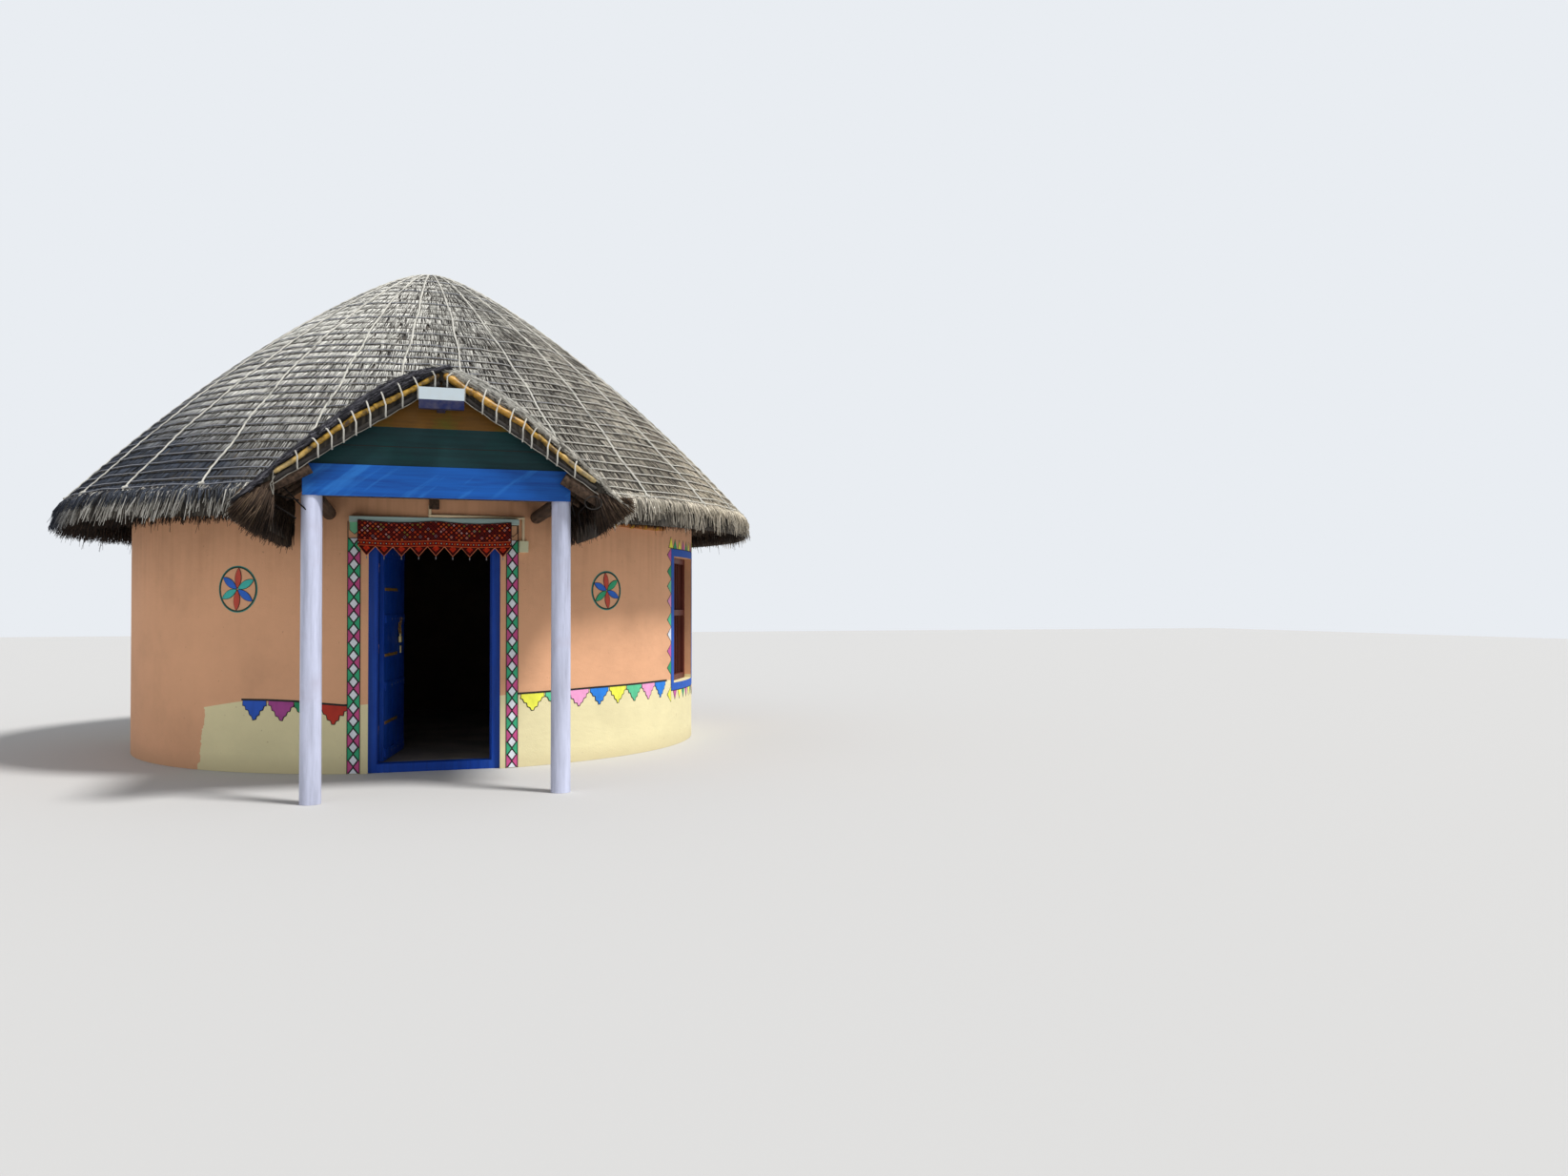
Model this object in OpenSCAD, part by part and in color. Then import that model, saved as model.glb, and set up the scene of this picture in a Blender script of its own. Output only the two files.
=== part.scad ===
// A round thatched hut with a gabled porch over its door.
// Millimetres, +Z up. The origin is the centre of the round plan at ground level.
// The door faces -Y. Azimuths are measured from the door towards +X.

/* [Wall] */
// Outer radius of the round wall
wall_r = 2860; // [2700:10:3000]
// Thickness of the wall
wall_t = 350; // [300:10:400]
// Height of the wall under its plate
wall_h = 2480; // [2440:10:2500]
// Height of the wall plate
plate_h = 100; // [60:5:120]
// Thickness of the floor
floor_t = 75; // [50:5:100]

/* [Thatched roof] */
// Steepness of the roof, in thousandths
roof_pitch = 524; // [480:2:560]
// How far the eave stands out from the wall
eave_out = 580; // [560:10:720]
// Thickness of the thatch
thatch_t = 190; // [150:10:220]
// Radius over which the crown is rounded
crown_r = 300; // [200:10:400]
// How much the slope bows outwards
roof_bow = 0.55; // [0.45:0.05:0.7]
// Length of a course of thatch, down the slope
course = 120; // [90:5:160]
// How far the straw tips of a course stand over the next one
course_lift = 15; // [8:1:22]
// How far the thatch hangs at the eave
eave_hang = 210; // [100:10:220]
// Gap between the rafters and the thatch at the wall
seat_gap = 10; // [5:1:30]
// Number of rafters
rafter_count = 12; // [8:1:12]
// Diameter of a rafter
rafter_d = 90; // [60:5:95]
// Length of a rafter beyond the wall plate
rafter_tail = 15; // [0:5:25]
// Radius of the hub that the rafters meet
hub_r = 200; // [190:5:230]
// Height of the hub
hub_h = 200; // [190:5:260]
// Number of hoops over the rafters
hoop_count = 5; // [3:1:7]
// Thickness of a hoop
hoop_d = 50; // [30:5:60]

/* [Porch] */
// Distance from the centre of the hut to the porch posts
post_y = 4270; // [4150:10:4400]
// Half the distance between the post centres
post_x = 900; // [850:10:950]
// Diameter of a post at its foot
post_foot_d = 152; // [130:2:180]
// Diameter of a post at its top
post_top_d = 146; // [120:2:170]
// Height of a post
post_h = 2240; // [2150:10:2300]
// Height of the beam on the posts and of the board before it
beam_h = 230; // [180:5:260]
// Thickness of the beam
beam_t = 100; // [80:5:120]
// Thickness of the board before the beam
fascia_t = 30; // [20:1:40]
// Diameter of a log between the wall and a post
log_d = 110; // [80:5:130]
// Distance of the log inside the post's middle
log_in = 30; // [0:5:40]
// Height of the log's top over the post's top
log_rise = 40; // [20:5:60]
// Height of the gable over the beam
gable_h = 640; // [560:10:700]
// Thickness of the gable boards
gable_t = 25; // [18:1:40]
// Height of the two lower gable boards together
green_h = 290; // [200:10:340]
// Depth of the thatch at the porch ridge
ridge_cover = 70; // [50:5:100]
// Steepness of the porch thatch at its sides, in thousandths
porch_pitch = 1050; // [950:10:1150]
// Half width over which the porch ridge is rounded
ridge_round = 550; // [450:10:600]
// Half width of the porch thatch
porch_eave_x = 1400; // [1340:10:1460]
// Depth of the thatch at the porch's side eaves
porch_eave_t = 300; // [240:10:330]
// Overhang of the porch thatch before the fascia
verge_out = 70; // [40:5:120]
// Diameter of the ridge pole
ridge_pole_d = 90; // [60:5:110]
// Diameter of a porch purlin
purlin_d = 60; // [40:5:70]
// Distance of the upper purlins from the middle
upper_purlin_x = 500; // [400:10:560]
// Distance of the lower purlins from the middle
lower_purlin_x = 860; // [840:5:870]
// Diameter of the bamboo along the porch edge
bamboo_d = 45; // [30:1:55]
// Where the upper lengths of bamboo end
bamboo_mid_x = 600; // [500:10:700]
// Where the lower lengths of bamboo end
bamboo_end_x = 1140; // [1050:10:1180]
// Diameter of the dark rod under the bamboo
rod_d = 36; // [20:1:40]

/* [Door] */
// Width of the door frame
door_w = 1100; // [1000:10:1160]
// Height of the door frame
door_h = 2110; // [2000:10:2120]
// Width of the frame members in view
frame_w = 70; // [55:1:80]
// Depth of the frame
frame_d = 120; // [100:5:140]
// Distance of the frame behind the middle of the wall's face
frame_inset = 90; // [60:5:110]
// Height of the sill rail
sill_h = 75; // [50:5:100]
// Thickness of the leaf
leaf_t = 40; // [30:1:50]
// Angle by which the leaf stands open
door_open = 80; // [0:1:90]
// Gap around the leaf
leaf_gap = 5; // [5:0.5:8]
// Gap at the free edge of the leaf
latch_gap = 8; // [8:0.5:12]
// Width of the stop strips
stop_w = 12; // [10:1:20]
// Thickness of the stop strips
stop_t = 25; // [15:1:30]
// Height of a batten on the leaf
batten_h = 70; // [50:5:90]
// Thickness of a batten
batten_t = 12; // [8:1:16]
// Height of a brass strap
strap_h = 26; // [18:1:40]
// Thickness of a brass strap
strap_t = 4; // [3:1:6]
// Length of a brass strap
strap_l = 560; // [400:10:700]
// Diameter of a hinge knuckle
knuckle_d = 20; // [16:1:26]
// Height of a hinge knuckle
knuckle_h = 40; // [30:1:60]
// Diameter of a hinge pin
pin_d = 10; // [8:1:12]

/* [Window] */
// Azimuth of the window
window_az = 65.3; // [58:0.1:72]
// Width of the window opening
window_w = 900; // [780:10:960]
// Height of the window sill
window_z = 640; // [560:10:760]
// Height of the window opening
window_h = 1300; // [1100:10:1400]
// Distance of the window frame behind the wall's face
window_inset = 110; // [80:5:150]
// Width of the window frame in view
window_frame_w = 60; // [45:1:70]
// Depth of the window frame
window_frame_d = 80; // [60:5:100]
// Height of the middle rail over the window sill
mid_rail_z = 715; // [600:5:800]

/* [Fittings] */
// Length of the rail over the door
rail_l = 1410; // [1200:10:1500]
// Height of the rail over the door
rail_h = 45; // [35:1:55]
// Thickness of the rail over the door
rail_t = 25; // [18:1:35]
// Height of the rail's underside over the door frame
rail_over = 40; // [20:5:60]
// Width of the cloth valance
valance_w = 1270; // [1100:10:1300]
// Height of the band of the valance
valance_h = 215; // [180:5:240]
// Length of a pennant of the valance
pennant_h = 85; // [60:5:110]
// Number of pennants
pennant_count = 9; // [7:1:11]
// Thickness of the valance
valance_t = 4; // [3:1:8]
// Diameter of the conduit
conduit_d = 25; // [18:1:28]
// Height of the conduit's middle over the rail's top
conduit_over = 19; // [17:1:35]
// Azimuth of the conduit's left end
conduit_az_left = -1; // [-3:0.5:2]
// Distance of the switch box's middle beside the door frame, under the conduit's right end
switch_out = 195; // [180:5:198]
// Width of the switch box
switch_w = 80; // [60:5:100]
// Height of the switch box
switch_h = 100; // [80:5:120]
// Depth of the switch box
switch_d = 40; // [25:1:55]
// Height of the switch box's middle
switch_z = 1960; // [1900:10:2000]
// Width of the gable lamp
lamp_w = 320; // [280:10:360]
// Height of the gable lamp
lamp_h = 156; // [130:2:170]
// Depth of the gable lamp
lamp_d = 60; // [45:5:75]
// Distance of the gable lamp's middle under the gable's peak
lamp_drop = 152; // [140:2:180]

/* [Hidden] */
$fn = 96;

// Gap between curved faces that seat on each other
fit = 0.3;
// How far a cutting body reaches past what it cuts
over = 50;
// Facets round the wide curves of the wall and the roof
wide_fn = 360;
// Azimuths at which the plain wall is divided, the same on both sides of the door
joint_az = [60, 120, 180];
// Azimuth of the fine joint between two pieces of the wall
seam_az = fit / wall_r * 180 / PI;
// Steps along the curved roof profiles, and finer ones for measuring along them
roof_steps = 16;
measuring_steps = 64;

plate_top = wall_h + plate_h;
inner_r = wall_r - wall_t;
eave_r = wall_r + eave_out;
// How far the beam stops short of the posts' outer sides
beam_short = 16;
fascia_half = post_x + post_foot_d / 2 - beam_short;
fascia_front = post_y + beam_t / 2 + fascia_t;
beam_front = post_y + beam_t / 2;
beam_top = post_h + beam_h;
gable_peak = beam_top + gable_h;
gable_slope = gable_h / fascia_half;
gable_tilt = atan(gable_slope);
verge_y = fascia_front + verge_out;
// Gap between the beam and the ends of the side logs
log_gap = 10;
// How far the underside of the porch thatch runs on past the beam
side_lap = 190;
porch_side_x = fascia_half + side_lap;
porch_ridge = gable_peak + ridge_cover;
rail_z = door_h + rail_over;
conduit_z = rail_z + rail_h + conduit_over;
switch_az = asin((door_w / 2 + switch_out) / wall_r);
lamp_z = gable_peak - lamp_drop;

wall_red = "#E3A97E";
thatch_grey = "#8C8878";
pole_brown = "#6A4A30";
door_blue = "#1440A0";
fascia_blue = "#1E6FC8";
brass_yellow = "#C9A227";

// Places a piece on the wall at an azimuth: local -Y points out of the wall
module at_azimuth(az) {
    rotate([0, 0, az]) children();
}

// A stretch of the round wall between two azimuths
module wall_arc(from_az, to_az, z = 0, h = wall_h) {
    rotate([0, 0, from_az - 90])
        rotate_extrude(angle = to_az - from_az, $fn = wide_fn)
            translate([inner_r, z]) square([wall_t, h]);
}

// A straight slot through the wall, facing -Y before it is turned
module wall_slot(w, z = -over, h = wall_h + 2 * over) {
    translate([-w / 2, -wall_r - over, z]) cube([w, wall_r, h]);
}

module wall_cylinder(extra = 0) {
    translate([0, 0, -over]) cylinder(h = roof_top + over, r = wall_r + extra, $fn = wide_fn);
}

// Extrudes an outline drawn in X and Z from one place to another along Y
module along_y(from_y, to_y) {
    translate([0, to_y, 0])
        rotate([90, 0, 0]) linear_extrude(to_y - from_y) children();
}

// A straight pole between two points given in X and Z
module pole_xz(p, q, d, y) {
    step = q - p;
    translate([p[0], y, p[1]])
        rotate([0, atan2(step[0], step[1]), 0]) cylinder(h = norm(step), d = d);
}

module mirror_pair() {
    children();
    mirror([1, 0, 0]) children();
}

// Roof profile: a rounded crown on a slope that steepens evenly towards the eave.
// Over the wall's face the thatch clears the rafters, and the crown's height follows from that.
function profile_drop(r) = sqrt(r * r + crown_r * crown_r) - crown_r + roof_bow * r * r / eave_r;
function roof_tilt(r) = atan(roof_pitch / 1000
    * (r / sqrt(r * r + crown_r * crown_r) + 2 * roof_bow * r / eave_r));
roof_seat = (rafter_d + thatch_t) / cos(roof_tilt(wall_r)) + seat_gap;
roof_top = plate_top + roof_seat + roof_pitch / 1000 * profile_drop(wall_r);
function roof_z(r) = roof_top - roof_pitch / 1000 * profile_drop(r);
function roof_at(r, depth) = [r - depth * sin(roof_tilt(r)), roof_z(r) - depth * cos(roof_tilt(r))];
roof_radii = [for (i = [0:roof_steps]) eave_r * i / roof_steps];

// Pairs of the distance along a curve and the place across it, from the middle to an edge
function measured(edge, height) =
    [for (i = 0, x = 0, s = 0; i <= measuring_steps;
          i = i + 1, s = s + norm([edge / measuring_steps, height[min(i, measuring_steps)] - height[i - 1]]),
          x = edge * i / measuring_steps) [s, x]];
function course_places(pairs) =
    let (reach = pairs[measuring_steps][0], count = round(reach / course))
    [for (i = [0:count]) lookup(reach * i / count, pairs)];

// Radii at which the courses of the roof end, and their profile: each course rises to its straw
// tips, and the next starts under them
roof_courses = course_places(measured(eave_r,
    [for (i = [0:measuring_steps]) roof_z(eave_r * i / measuring_steps)]));
roof_skin = [for (i = [0:len(roof_courses) - 1], lift = i == 0 ? [0] : [course_lift, 0])
    if (i < len(roof_courses) - 1 || lift > 0) roof_at(roof_courses[i], -lift)];

// Height of the gable's sloping edge, of the thatch's underside on it, and of the thatch's top,
// over a place across the porch
function gable_z(x) = gable_peak - gable_slope * abs(x);
function underside_z(x) = gable_z(x) + fit;
function porch_z(x) =
    porch_ridge - porch_pitch / 1000 * (sqrt(x * x + ridge_round * ridge_round) - ridge_round);
function porch_tilt(x) = atan(porch_pitch / 1000 * x / sqrt(x * x + ridge_round * ridge_round));
porch_courses = course_places(measured(porch_eave_x,
    [for (i = [0:measuring_steps]) porch_z(porch_eave_x * i / measuring_steps)]));
// Profile of one side of the porch's courses, from the ridge down
porch_skin = [for (x = porch_courses, lift = x == 0 ? [0] : [course_lift, 0])
    [x + lift * sin(porch_tilt(x)), porch_z(x) + lift * cos(porch_tilt(x))]];

// Everything inside the straw tips of the roof, run down below the eave
module roof_envelope() {
    clear = course_lift + fit;
    rotate_extrude($fn = wide_fn)
        polygon(concat(
            [[0, 0]],
            [for (r = roof_courses) roof_at(r, -clear)],
            [[eave_r + clear, 0]]));
}

// The room under the porch roof, before the wall
module porch_passage() {
    difference() {
        along_y(-verge_y - over, 0)
            polygon([[-porch_side_x, 0], [porch_side_x, 0], [porch_side_x, underside_z(porch_side_x)],
                [0, underside_z(0)], [-porch_side_x, underside_z(porch_side_x)]]);
        wall_cylinder();
    }
}

module floor_slab() {
    color("#9A8F80")
        union() {
            cylinder(h = floor_t, r = inner_r - fit, $fn = wide_fn);
            translate([-door_w / 2, -wall_r + frame_inset + frame_d, 0])
                cube([door_w, wall_t, floor_t]);
        }
}

module wall_front_left() {
    color(wall_red)
        difference() {
            wall_arc(-joint_az[0], 0);
            wall_slot(door_w);
        }
}

module wall_left() {
    color(wall_red) wall_arc(-joint_az[1], -joint_az[0] - seam_az);
}

module wall_back_left() {
    color(wall_red) wall_arc(-joint_az[2], -joint_az[1] - seam_az);
}

module wall_back_right() {
    color(wall_red) wall_arc(joint_az[1] + seam_az, joint_az[2] - seam_az);
}

module wall_right_back() {
    color(wall_red)
        difference() {
            wall_arc(window_az, joint_az[1]);
            at_azimuth(window_az) wall_slot(window_w);
        }
}

// The part of the wall inside the window's slot, between two heights
module window_wall(z, h) {
    color(wall_red)
        intersection() {
            wall_arc(window_az - 20, window_az + 20, z, h);
            at_azimuth(window_az) wall_slot(window_w);
        }
}

module wall_under_window() {
    window_wall(0, window_z);
}

module wall_over_window() {
    window_wall(window_z + window_h, wall_h - window_z - window_h);
}

module wall_front_right() {
    color(wall_red)
        difference() {
            wall_arc(0, window_az);
            wall_slot(door_w);
            at_azimuth(window_az) wall_slot(window_w);
        }
}

module wall_over_door() {
    color(wall_red)
        intersection() {
            wall_arc(-20, 20, door_h, wall_h - door_h);
            wall_slot(door_w);
        }
}

module wall_plate() {
    color(wall_red)
        difference() {
            translate([0, 0, wall_h + fit])
                cylinder(h = plate_h - fit, r = wall_r, $fn = wide_fn);
            translate([0, 0, wall_h - over])
                cylinder(h = plate_h + 2 * over, r = inner_r, $fn = wide_fn);
        }
}

// The hub's top lies under the crown's thatch, and the rafters run from the plate's outer edge
// to just under that top. Their tails are cut plumb.
hub_top = roof_at(2 * hub_r, thatch_t)[1];
hub_z = hub_top - rafter_d / cos(roof_tilt(wall_r));
rafter_tilt = atan2(hub_z - plate_top, wall_r - hub_r);

module rafter() {
    intersection() {
        translate([wall_r, 0, plate_top])
            rotate([0, rafter_tilt - 90, 0])
                translate([rafter_d / 2 + fit, 0, -rafter_d])
                    cylinder(h = wall_r / cos(rafter_tilt), d = rafter_d);
        difference() {
            cylinder(h = roof_top, r = wall_r + rafter_tail, $fn = wide_fn);
            translate([0, 0, -over])
                cylinder(h = roof_top + 2 * over, r = hub_r + fit, $fn = wide_fn);
        }
    }
}

module roof_rafters() {
    color(pole_brown)
        for (i = [0:rafter_count - 1])
            rotate([0, 0, (i + 0.5) * 360 / rafter_count - 90]) rafter();
}

module roof_hub() {
    color(pole_brown) translate([0, 0, hub_top - hub_h]) cylinder(h = hub_h, r = hub_r);
}

// Hoops lie on the rafters, spaced evenly between the hub and the wall
module roof_hoops() {
    lift = (rafter_d + hoop_d / 2 + 2 * fit) / cos(rafter_tilt);
    color(pole_brown)
        for (i = [1:hoop_count]) {
            r = hub_r + (wall_r - hub_r) * i / (hoop_count + 1);
            translate([0, 0, plate_top + (wall_r - r) * tan(rafter_tilt) + lift])
                rotate_extrude($fn = wide_fn) translate([r, 0]) circle(d = hoop_d, $fn = 24);
        }
}

module roof_thatch() {
    color(thatch_grey)
        difference() {
            rotate_extrude($fn = wide_fn)
                polygon(concat(
                    roof_skin,
                    [[eave_r, roof_z(eave_r) - eave_hang]],
                    [for (i = [roof_steps:-1:0]) roof_at(roof_radii[i], thatch_t)]));
            porch_passage();
        }
}

module porch_post() {
    color("#D8D4E0") cylinder(h = post_h, d1 = post_foot_d, d2 = post_top_d);
}

module porch_post_left() {
    translate([-post_x, -post_y, 0]) porch_post();
}

module porch_post_right() {
    translate([post_x, -post_y, 0]) porch_post();
}

// A log runs from the wall to the back of each post, its end scribed to the post
module porch_side_logs() {
    color(pole_brown)
        mirror_pair()
            difference() {
                translate([post_x - log_in, -post_y + beam_t / 2 + log_gap, post_h + log_rise - log_d / 2])
                    rotate([-90, 0, 0]) cylinder(h = post_y, d = log_d);
                wall_cylinder(fit);
                translate([post_x, -post_y, 0])
                    cylinder(h = post_h, d1 = post_foot_d + 2 * fit, d2 = post_top_d + 2 * fit);
            }
}

module porch_beam() {
    color(pole_brown)
        translate([-fascia_half, -beam_front, post_h]) cube([2 * fascia_half, beam_t, beam_h]);
}

module porch_fascia() {
    color(fascia_blue)
        translate([-fascia_half, -fascia_front, post_h])
            cube([2 * fascia_half, fascia_t, beam_h]);
}

// A board of the gable between two heights, its ends cut to the slope
module gable_board(low, high) {
    half_low = (gable_peak - low) / gable_slope;
    half_high = (gable_peak - high) / gable_slope;
    along_y(-beam_front, -beam_front + gable_t)
        polygon([[-half_low, low], [half_low, low], [half_high, high], [-half_high, high]]);
}

module gable_boards_green() {
    color("#0F3E40")
        for (i = [0:1])
            gable_board(beam_top + i * green_h / 2, beam_top + (i + 1) * green_h / 2);
}

module gable_board_ochre() {
    color("#B8860B")
        along_y(-beam_front, -beam_front + gable_t)
            polygon([[-(gable_h - green_h) / gable_slope, beam_top + green_h],
                [(gable_h - green_h) / gable_slope, beam_top + green_h], [0, gable_peak]]);
}

// A pole along the porch, against the underside of its thatch
module porch_pole(x, d, length) {
    translate([x, -beam_front + gable_t, gable_z(x) - (d / 2 + fit) / cos(gable_tilt)])
        rotate([-90, 0, 0]) cylinder(h = length, d = d);
}

module porch_ridge_pole() {
    color(pole_brown)
        difference() {
            porch_pole(0, ridge_pole_d, beam_front - gable_t);
            roof_envelope();
        }
}

module porch_purlins() {
    color(pole_brown)
        mirror_pair() {
            for (x = [upper_purlin_x, lower_purlin_x])
                difference() {
                    porch_pole(x, purlin_d, beam_front - gable_t);
                    wall_cylinder(fit);
                }
        }
}

// The porch's thatch: rounded over the ridge, and hanging thick at the side eaves, where its
// cut face slants in
module porch_thatch() {
    cut_slant = [0.8, 0.7];
    eave_foot = [porch_eave_x, porch_z(porch_eave_x)] - porch_eave_t * cut_slant;
    color(thatch_grey)
        difference() {
            along_y(-verge_y, 0)
                polygon(concat(
                    [for (i = [len(porch_skin) - 1:-1:1]) [-porch_skin[i][0], porch_skin[i][1]]],
                    porch_skin,
                    [eave_foot, [porch_side_x, underside_z(porch_side_x)], [0, underside_z(0)],
                        [-porch_side_x, underside_z(porch_side_x)], [-eave_foot[0], eave_foot[1]]]));
            roof_envelope();
        }
}

// Split bamboo on the cut edge of the thatch, in two lengths a side
module verge_bamboo() {
    y = -verge_y - bamboo_d / 2 - fit;
    lift = (bamboo_d / 2 + rod_d / 2 + fit) / cos(gable_tilt) - rod_d / 2;
    top = [bamboo_d / 3, gable_peak + lift];
    middle = [bamboo_mid_x, gable_z(bamboo_mid_x) + 2 * bamboo_d];
    joint = [bamboo_d / 4, -bamboo_d / 4 * gable_slope];
    foot = [bamboo_end_x, gable_z(bamboo_end_x) + lift];
    color("#D89A3A")
        mirror_pair() {
            pole_xz(top, middle, bamboo_d, y);
            pole_xz(middle + joint, foot, bamboo_d, y);
        }
}

module verge_rods() {
    y = -verge_y - rod_d / 2 - fit;
    top = [rod_d / 3, gable_z(rod_d / 3) - rod_d / 2];
    foot = [bamboo_end_x, gable_z(bamboo_end_x) - rod_d / 2];
    color("#4A4642") mirror_pair() pole_xz(top, foot, rod_d, y);
}

// The door frame stands in the doorway, its back flush with the closed leaf
frame_front = wall_r - frame_inset;
frame_rear = frame_front - frame_d;
clear_half = door_w / 2 - frame_w;
head_z = door_h - frame_w;

module door_jamb() {
    color(door_blue)
        translate([clear_half, -frame_front, 0]) cube([frame_w, frame_d, door_h]);
}

module door_jamb_left() {
    mirror([1, 0, 0]) door_jamb();
}

module door_jamb_right() {
    door_jamb();
}

module door_head() {
    color(door_blue)
        translate([-clear_half, -frame_front, head_z]) cube([2 * clear_half, frame_d, frame_w]);
}

module door_sill() {
    color(door_blue)
        translate([-clear_half, -frame_front, 0]) cube([2 * clear_half, frame_d, sill_h]);
}

// Strips that the closed leaf stops against
module door_stops() {
    y = -frame_rear - leaf_t - leaf_gap - stop_t;
    color(door_blue) {
        mirror_pair()
            translate([clear_half - stop_w, y, sill_h])
                cube([stop_w, stop_t, head_z - sill_h - stop_w]);
        translate([-clear_half, y, head_z - stop_w]) cube([2 * clear_half, stop_t, stop_w]);
    }
}

// The hinge line, behind the left jamb, and the hinges' flat plates
knuckle_gap = 2;
pin_x = -clear_half + leaf_gap / 2;
pin_off = knuckle_d / 2 + knuckle_gap;
pin_y = -frame_rear + pin_off;
plate_t = 3;
plate_w = 50;
hinge_rows = [0.14, 0.5, 0.86];
hinge_heights = [for (f = hinge_rows) sill_h + f * (head_z - sill_h) - knuckle_h];

// Local frame of the leaf: X runs from the hinge line along the leaf
module on_leaf() {
    translate([pin_x, pin_y, 0]) rotate([0, 0, door_open]) children();
}

leaf_x = leaf_gap / 2;
leaf_w = 2 * clear_half - leaf_gap - latch_gap;
leaf_z = max(sill_h, floor_t) + leaf_gap;
leaf_h = head_z - leaf_gap - leaf_z;
leaf_face = -pin_off - leaf_t;

module door_hinge_pins() {
    color(brass_yellow)
        for (z = hinge_heights)
            translate([pin_x, pin_y, z]) {
                cylinder(h = knuckle_h, d = knuckle_d);
                cylinder(h = 2 * knuckle_h - knuckle_gap, d = pin_d);
                translate([-plate_w, -pin_off, 0]) cube([plate_w, plate_t, knuckle_h - leaf_gap]);
            }
}

module door_knuckles() {
    color(brass_yellow)
        on_leaf()
            for (z = hinge_heights)
                translate([0, 0, z + knuckle_h + 1])
                    difference() {
                        union() {
                            cylinder(h = knuckle_h, d = knuckle_d);
                            translate([0, -pin_off, leaf_gap])
                                cube([plate_w, plate_t, knuckle_h - leaf_gap]);
                        }
                        translate([0, 0, -1]) cylinder(h = knuckle_h + 2, d = pin_d + 2 * fit);
                    }
}

module door_leaf() {
    color(door_blue)
        on_leaf() translate([leaf_x, leaf_face, leaf_z]) cube([leaf_w, leaf_t, leaf_h]);
}

// Heights of the middles on the leaf, as shares of its own height, and the margin at its sides
batten_rows = [0.034, 0.332, 0.633, 0.93];
strap_rows = [0.169, 0.471, 0.767];
leaf_side = 40;

module door_battens() {
    color(door_blue)
        on_leaf()
            for (f = batten_rows)
                translate([leaf_x + leaf_side, leaf_face - batten_t, leaf_z + f * leaf_h - batten_h / 2])
                    cube([leaf_w - 2 * leaf_side, batten_t, batten_h]);
}

module door_straps() {
    color(brass_yellow)
        on_leaf()
            for (f = strap_rows)
                translate([leaf_x + leaf_side, leaf_face - strap_t, leaf_z + f * leaf_h - strap_h / 2])
                    cube([strap_l, strap_t, strap_h]);
}

// A wooden frame with a middle rail, set back in the window opening
module window_frame() {
    clear_w = window_w - 2 * window_frame_w;
    color("#5A2A20")
        at_azimuth(window_az)
            translate([-window_w / 2, -wall_r + window_inset, window_z])
                difference() {
                    cube([window_w, window_frame_d, window_h]);
                    translate([window_frame_w, -over, window_frame_w])
                        cube([clear_w, window_frame_d + 2 * over,
                            mid_rail_z - 1.5 * window_frame_w]);
                    translate([window_frame_w, -over, mid_rail_z + window_frame_w / 2])
                        cube([clear_w, window_frame_d + 2 * over,
                            window_h - mid_rail_z - 1.5 * window_frame_w]);
                }
}

// A straight rail, its back scribed to the round wall
module valance_rail() {
    color("#9DB8B4")
        difference() {
            translate([-rail_l / 2, -wall_r - rail_t, rail_z]) cube([rail_l, wall_t, rail_h]);
            wall_cylinder(fit);
        }
}

// A band of cloth with a row of pennants, hung on the rail's face
module valance() {
    pitch = valance_w / pennant_count;
    top = rail_z + rail_h / 3;
    low = top - valance_h;
    color("#8E1F12")
        along_y(-wall_r - rail_t - valance_t - fit, -wall_r - rail_t - fit)
            polygon(concat(
                [[valance_w / 2, top], [-valance_w / 2, top], [-valance_w / 2, low]],
                [for (i = [0:pennant_count - 1], step = [0.5, 1])
                    [-valance_w / 2 + (i + step) * pitch, low - (step < 1 ? pennant_h : 0)]]));
}

// The conduit's elbows are a little wider than its pipes, and all lie against the wall
elbow_d = conduit_d + 6;
conduit_r = wall_r + elbow_d / 2 + fit;
conduit_rise = 90;

module conduit() {
    switch_top = switch_z + switch_h / 2;
    color("#D8C8A8") {
        translate([0, 0, conduit_z])
            rotate([0, 0, conduit_az_left - 90])
                rotate_extrude(angle = switch_az - conduit_az_left, $fn = wide_fn)
                    translate([conduit_r, 0]) circle(d = conduit_d, $fn = 24);
        at_azimuth(conduit_az_left)
            translate([0, -conduit_r, conduit_z]) {
                sphere(d = elbow_d);
                cylinder(h = conduit_rise, d = conduit_d);
            }
        at_azimuth(switch_az)
            translate([0, -conduit_r, switch_top]) {
                translate([0, 0, conduit_z - switch_top]) sphere(d = elbow_d);
                cylinder(h = conduit_z - switch_top, d = conduit_d);
            }
    }
}

module switch_box() {
    color("#D8D8B0")
        at_azimuth(switch_az)
            translate([-switch_w / 2, -wall_r - switch_d - fit, switch_z - switch_h / 2])
                cube([switch_w, switch_d, switch_h]);
}

// The lamp hangs before the bamboo on an arm from the gable board. Its case closes the back,
// and in front of that it is as high as its dark lower part.
lamp_gap = 2;
lamp_back = verge_y + bamboo_d + lamp_gap;
case_h = 0.42 * lamp_h;
case_back = lamp_d / 4;

module gable_lamp() {
    arm_w = 60;
    arm_h = 40;
    low = lamp_z - lamp_h / 2;
    color("#1C2A5A") {
        translate([-lamp_w / 2, -lamp_back - lamp_d, low]) cube([lamp_w, lamp_d, case_h]);
        translate([-lamp_w / 2, -lamp_back - case_back, low]) cube([lamp_w, case_back, lamp_h]);
        translate([-arm_w / 2, -lamp_back, low]) cube([arm_w, lamp_back - beam_front, arm_h]);
    }
}

module lamp_diffuser() {
    low = lamp_z - lamp_h / 2 + case_h;
    color("#E8EEF0")
        translate([-lamp_w / 2, -lamp_back - lamp_d, low])
            cube([lamp_w, lamp_d - case_back, lamp_h - case_h]);
}

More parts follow.
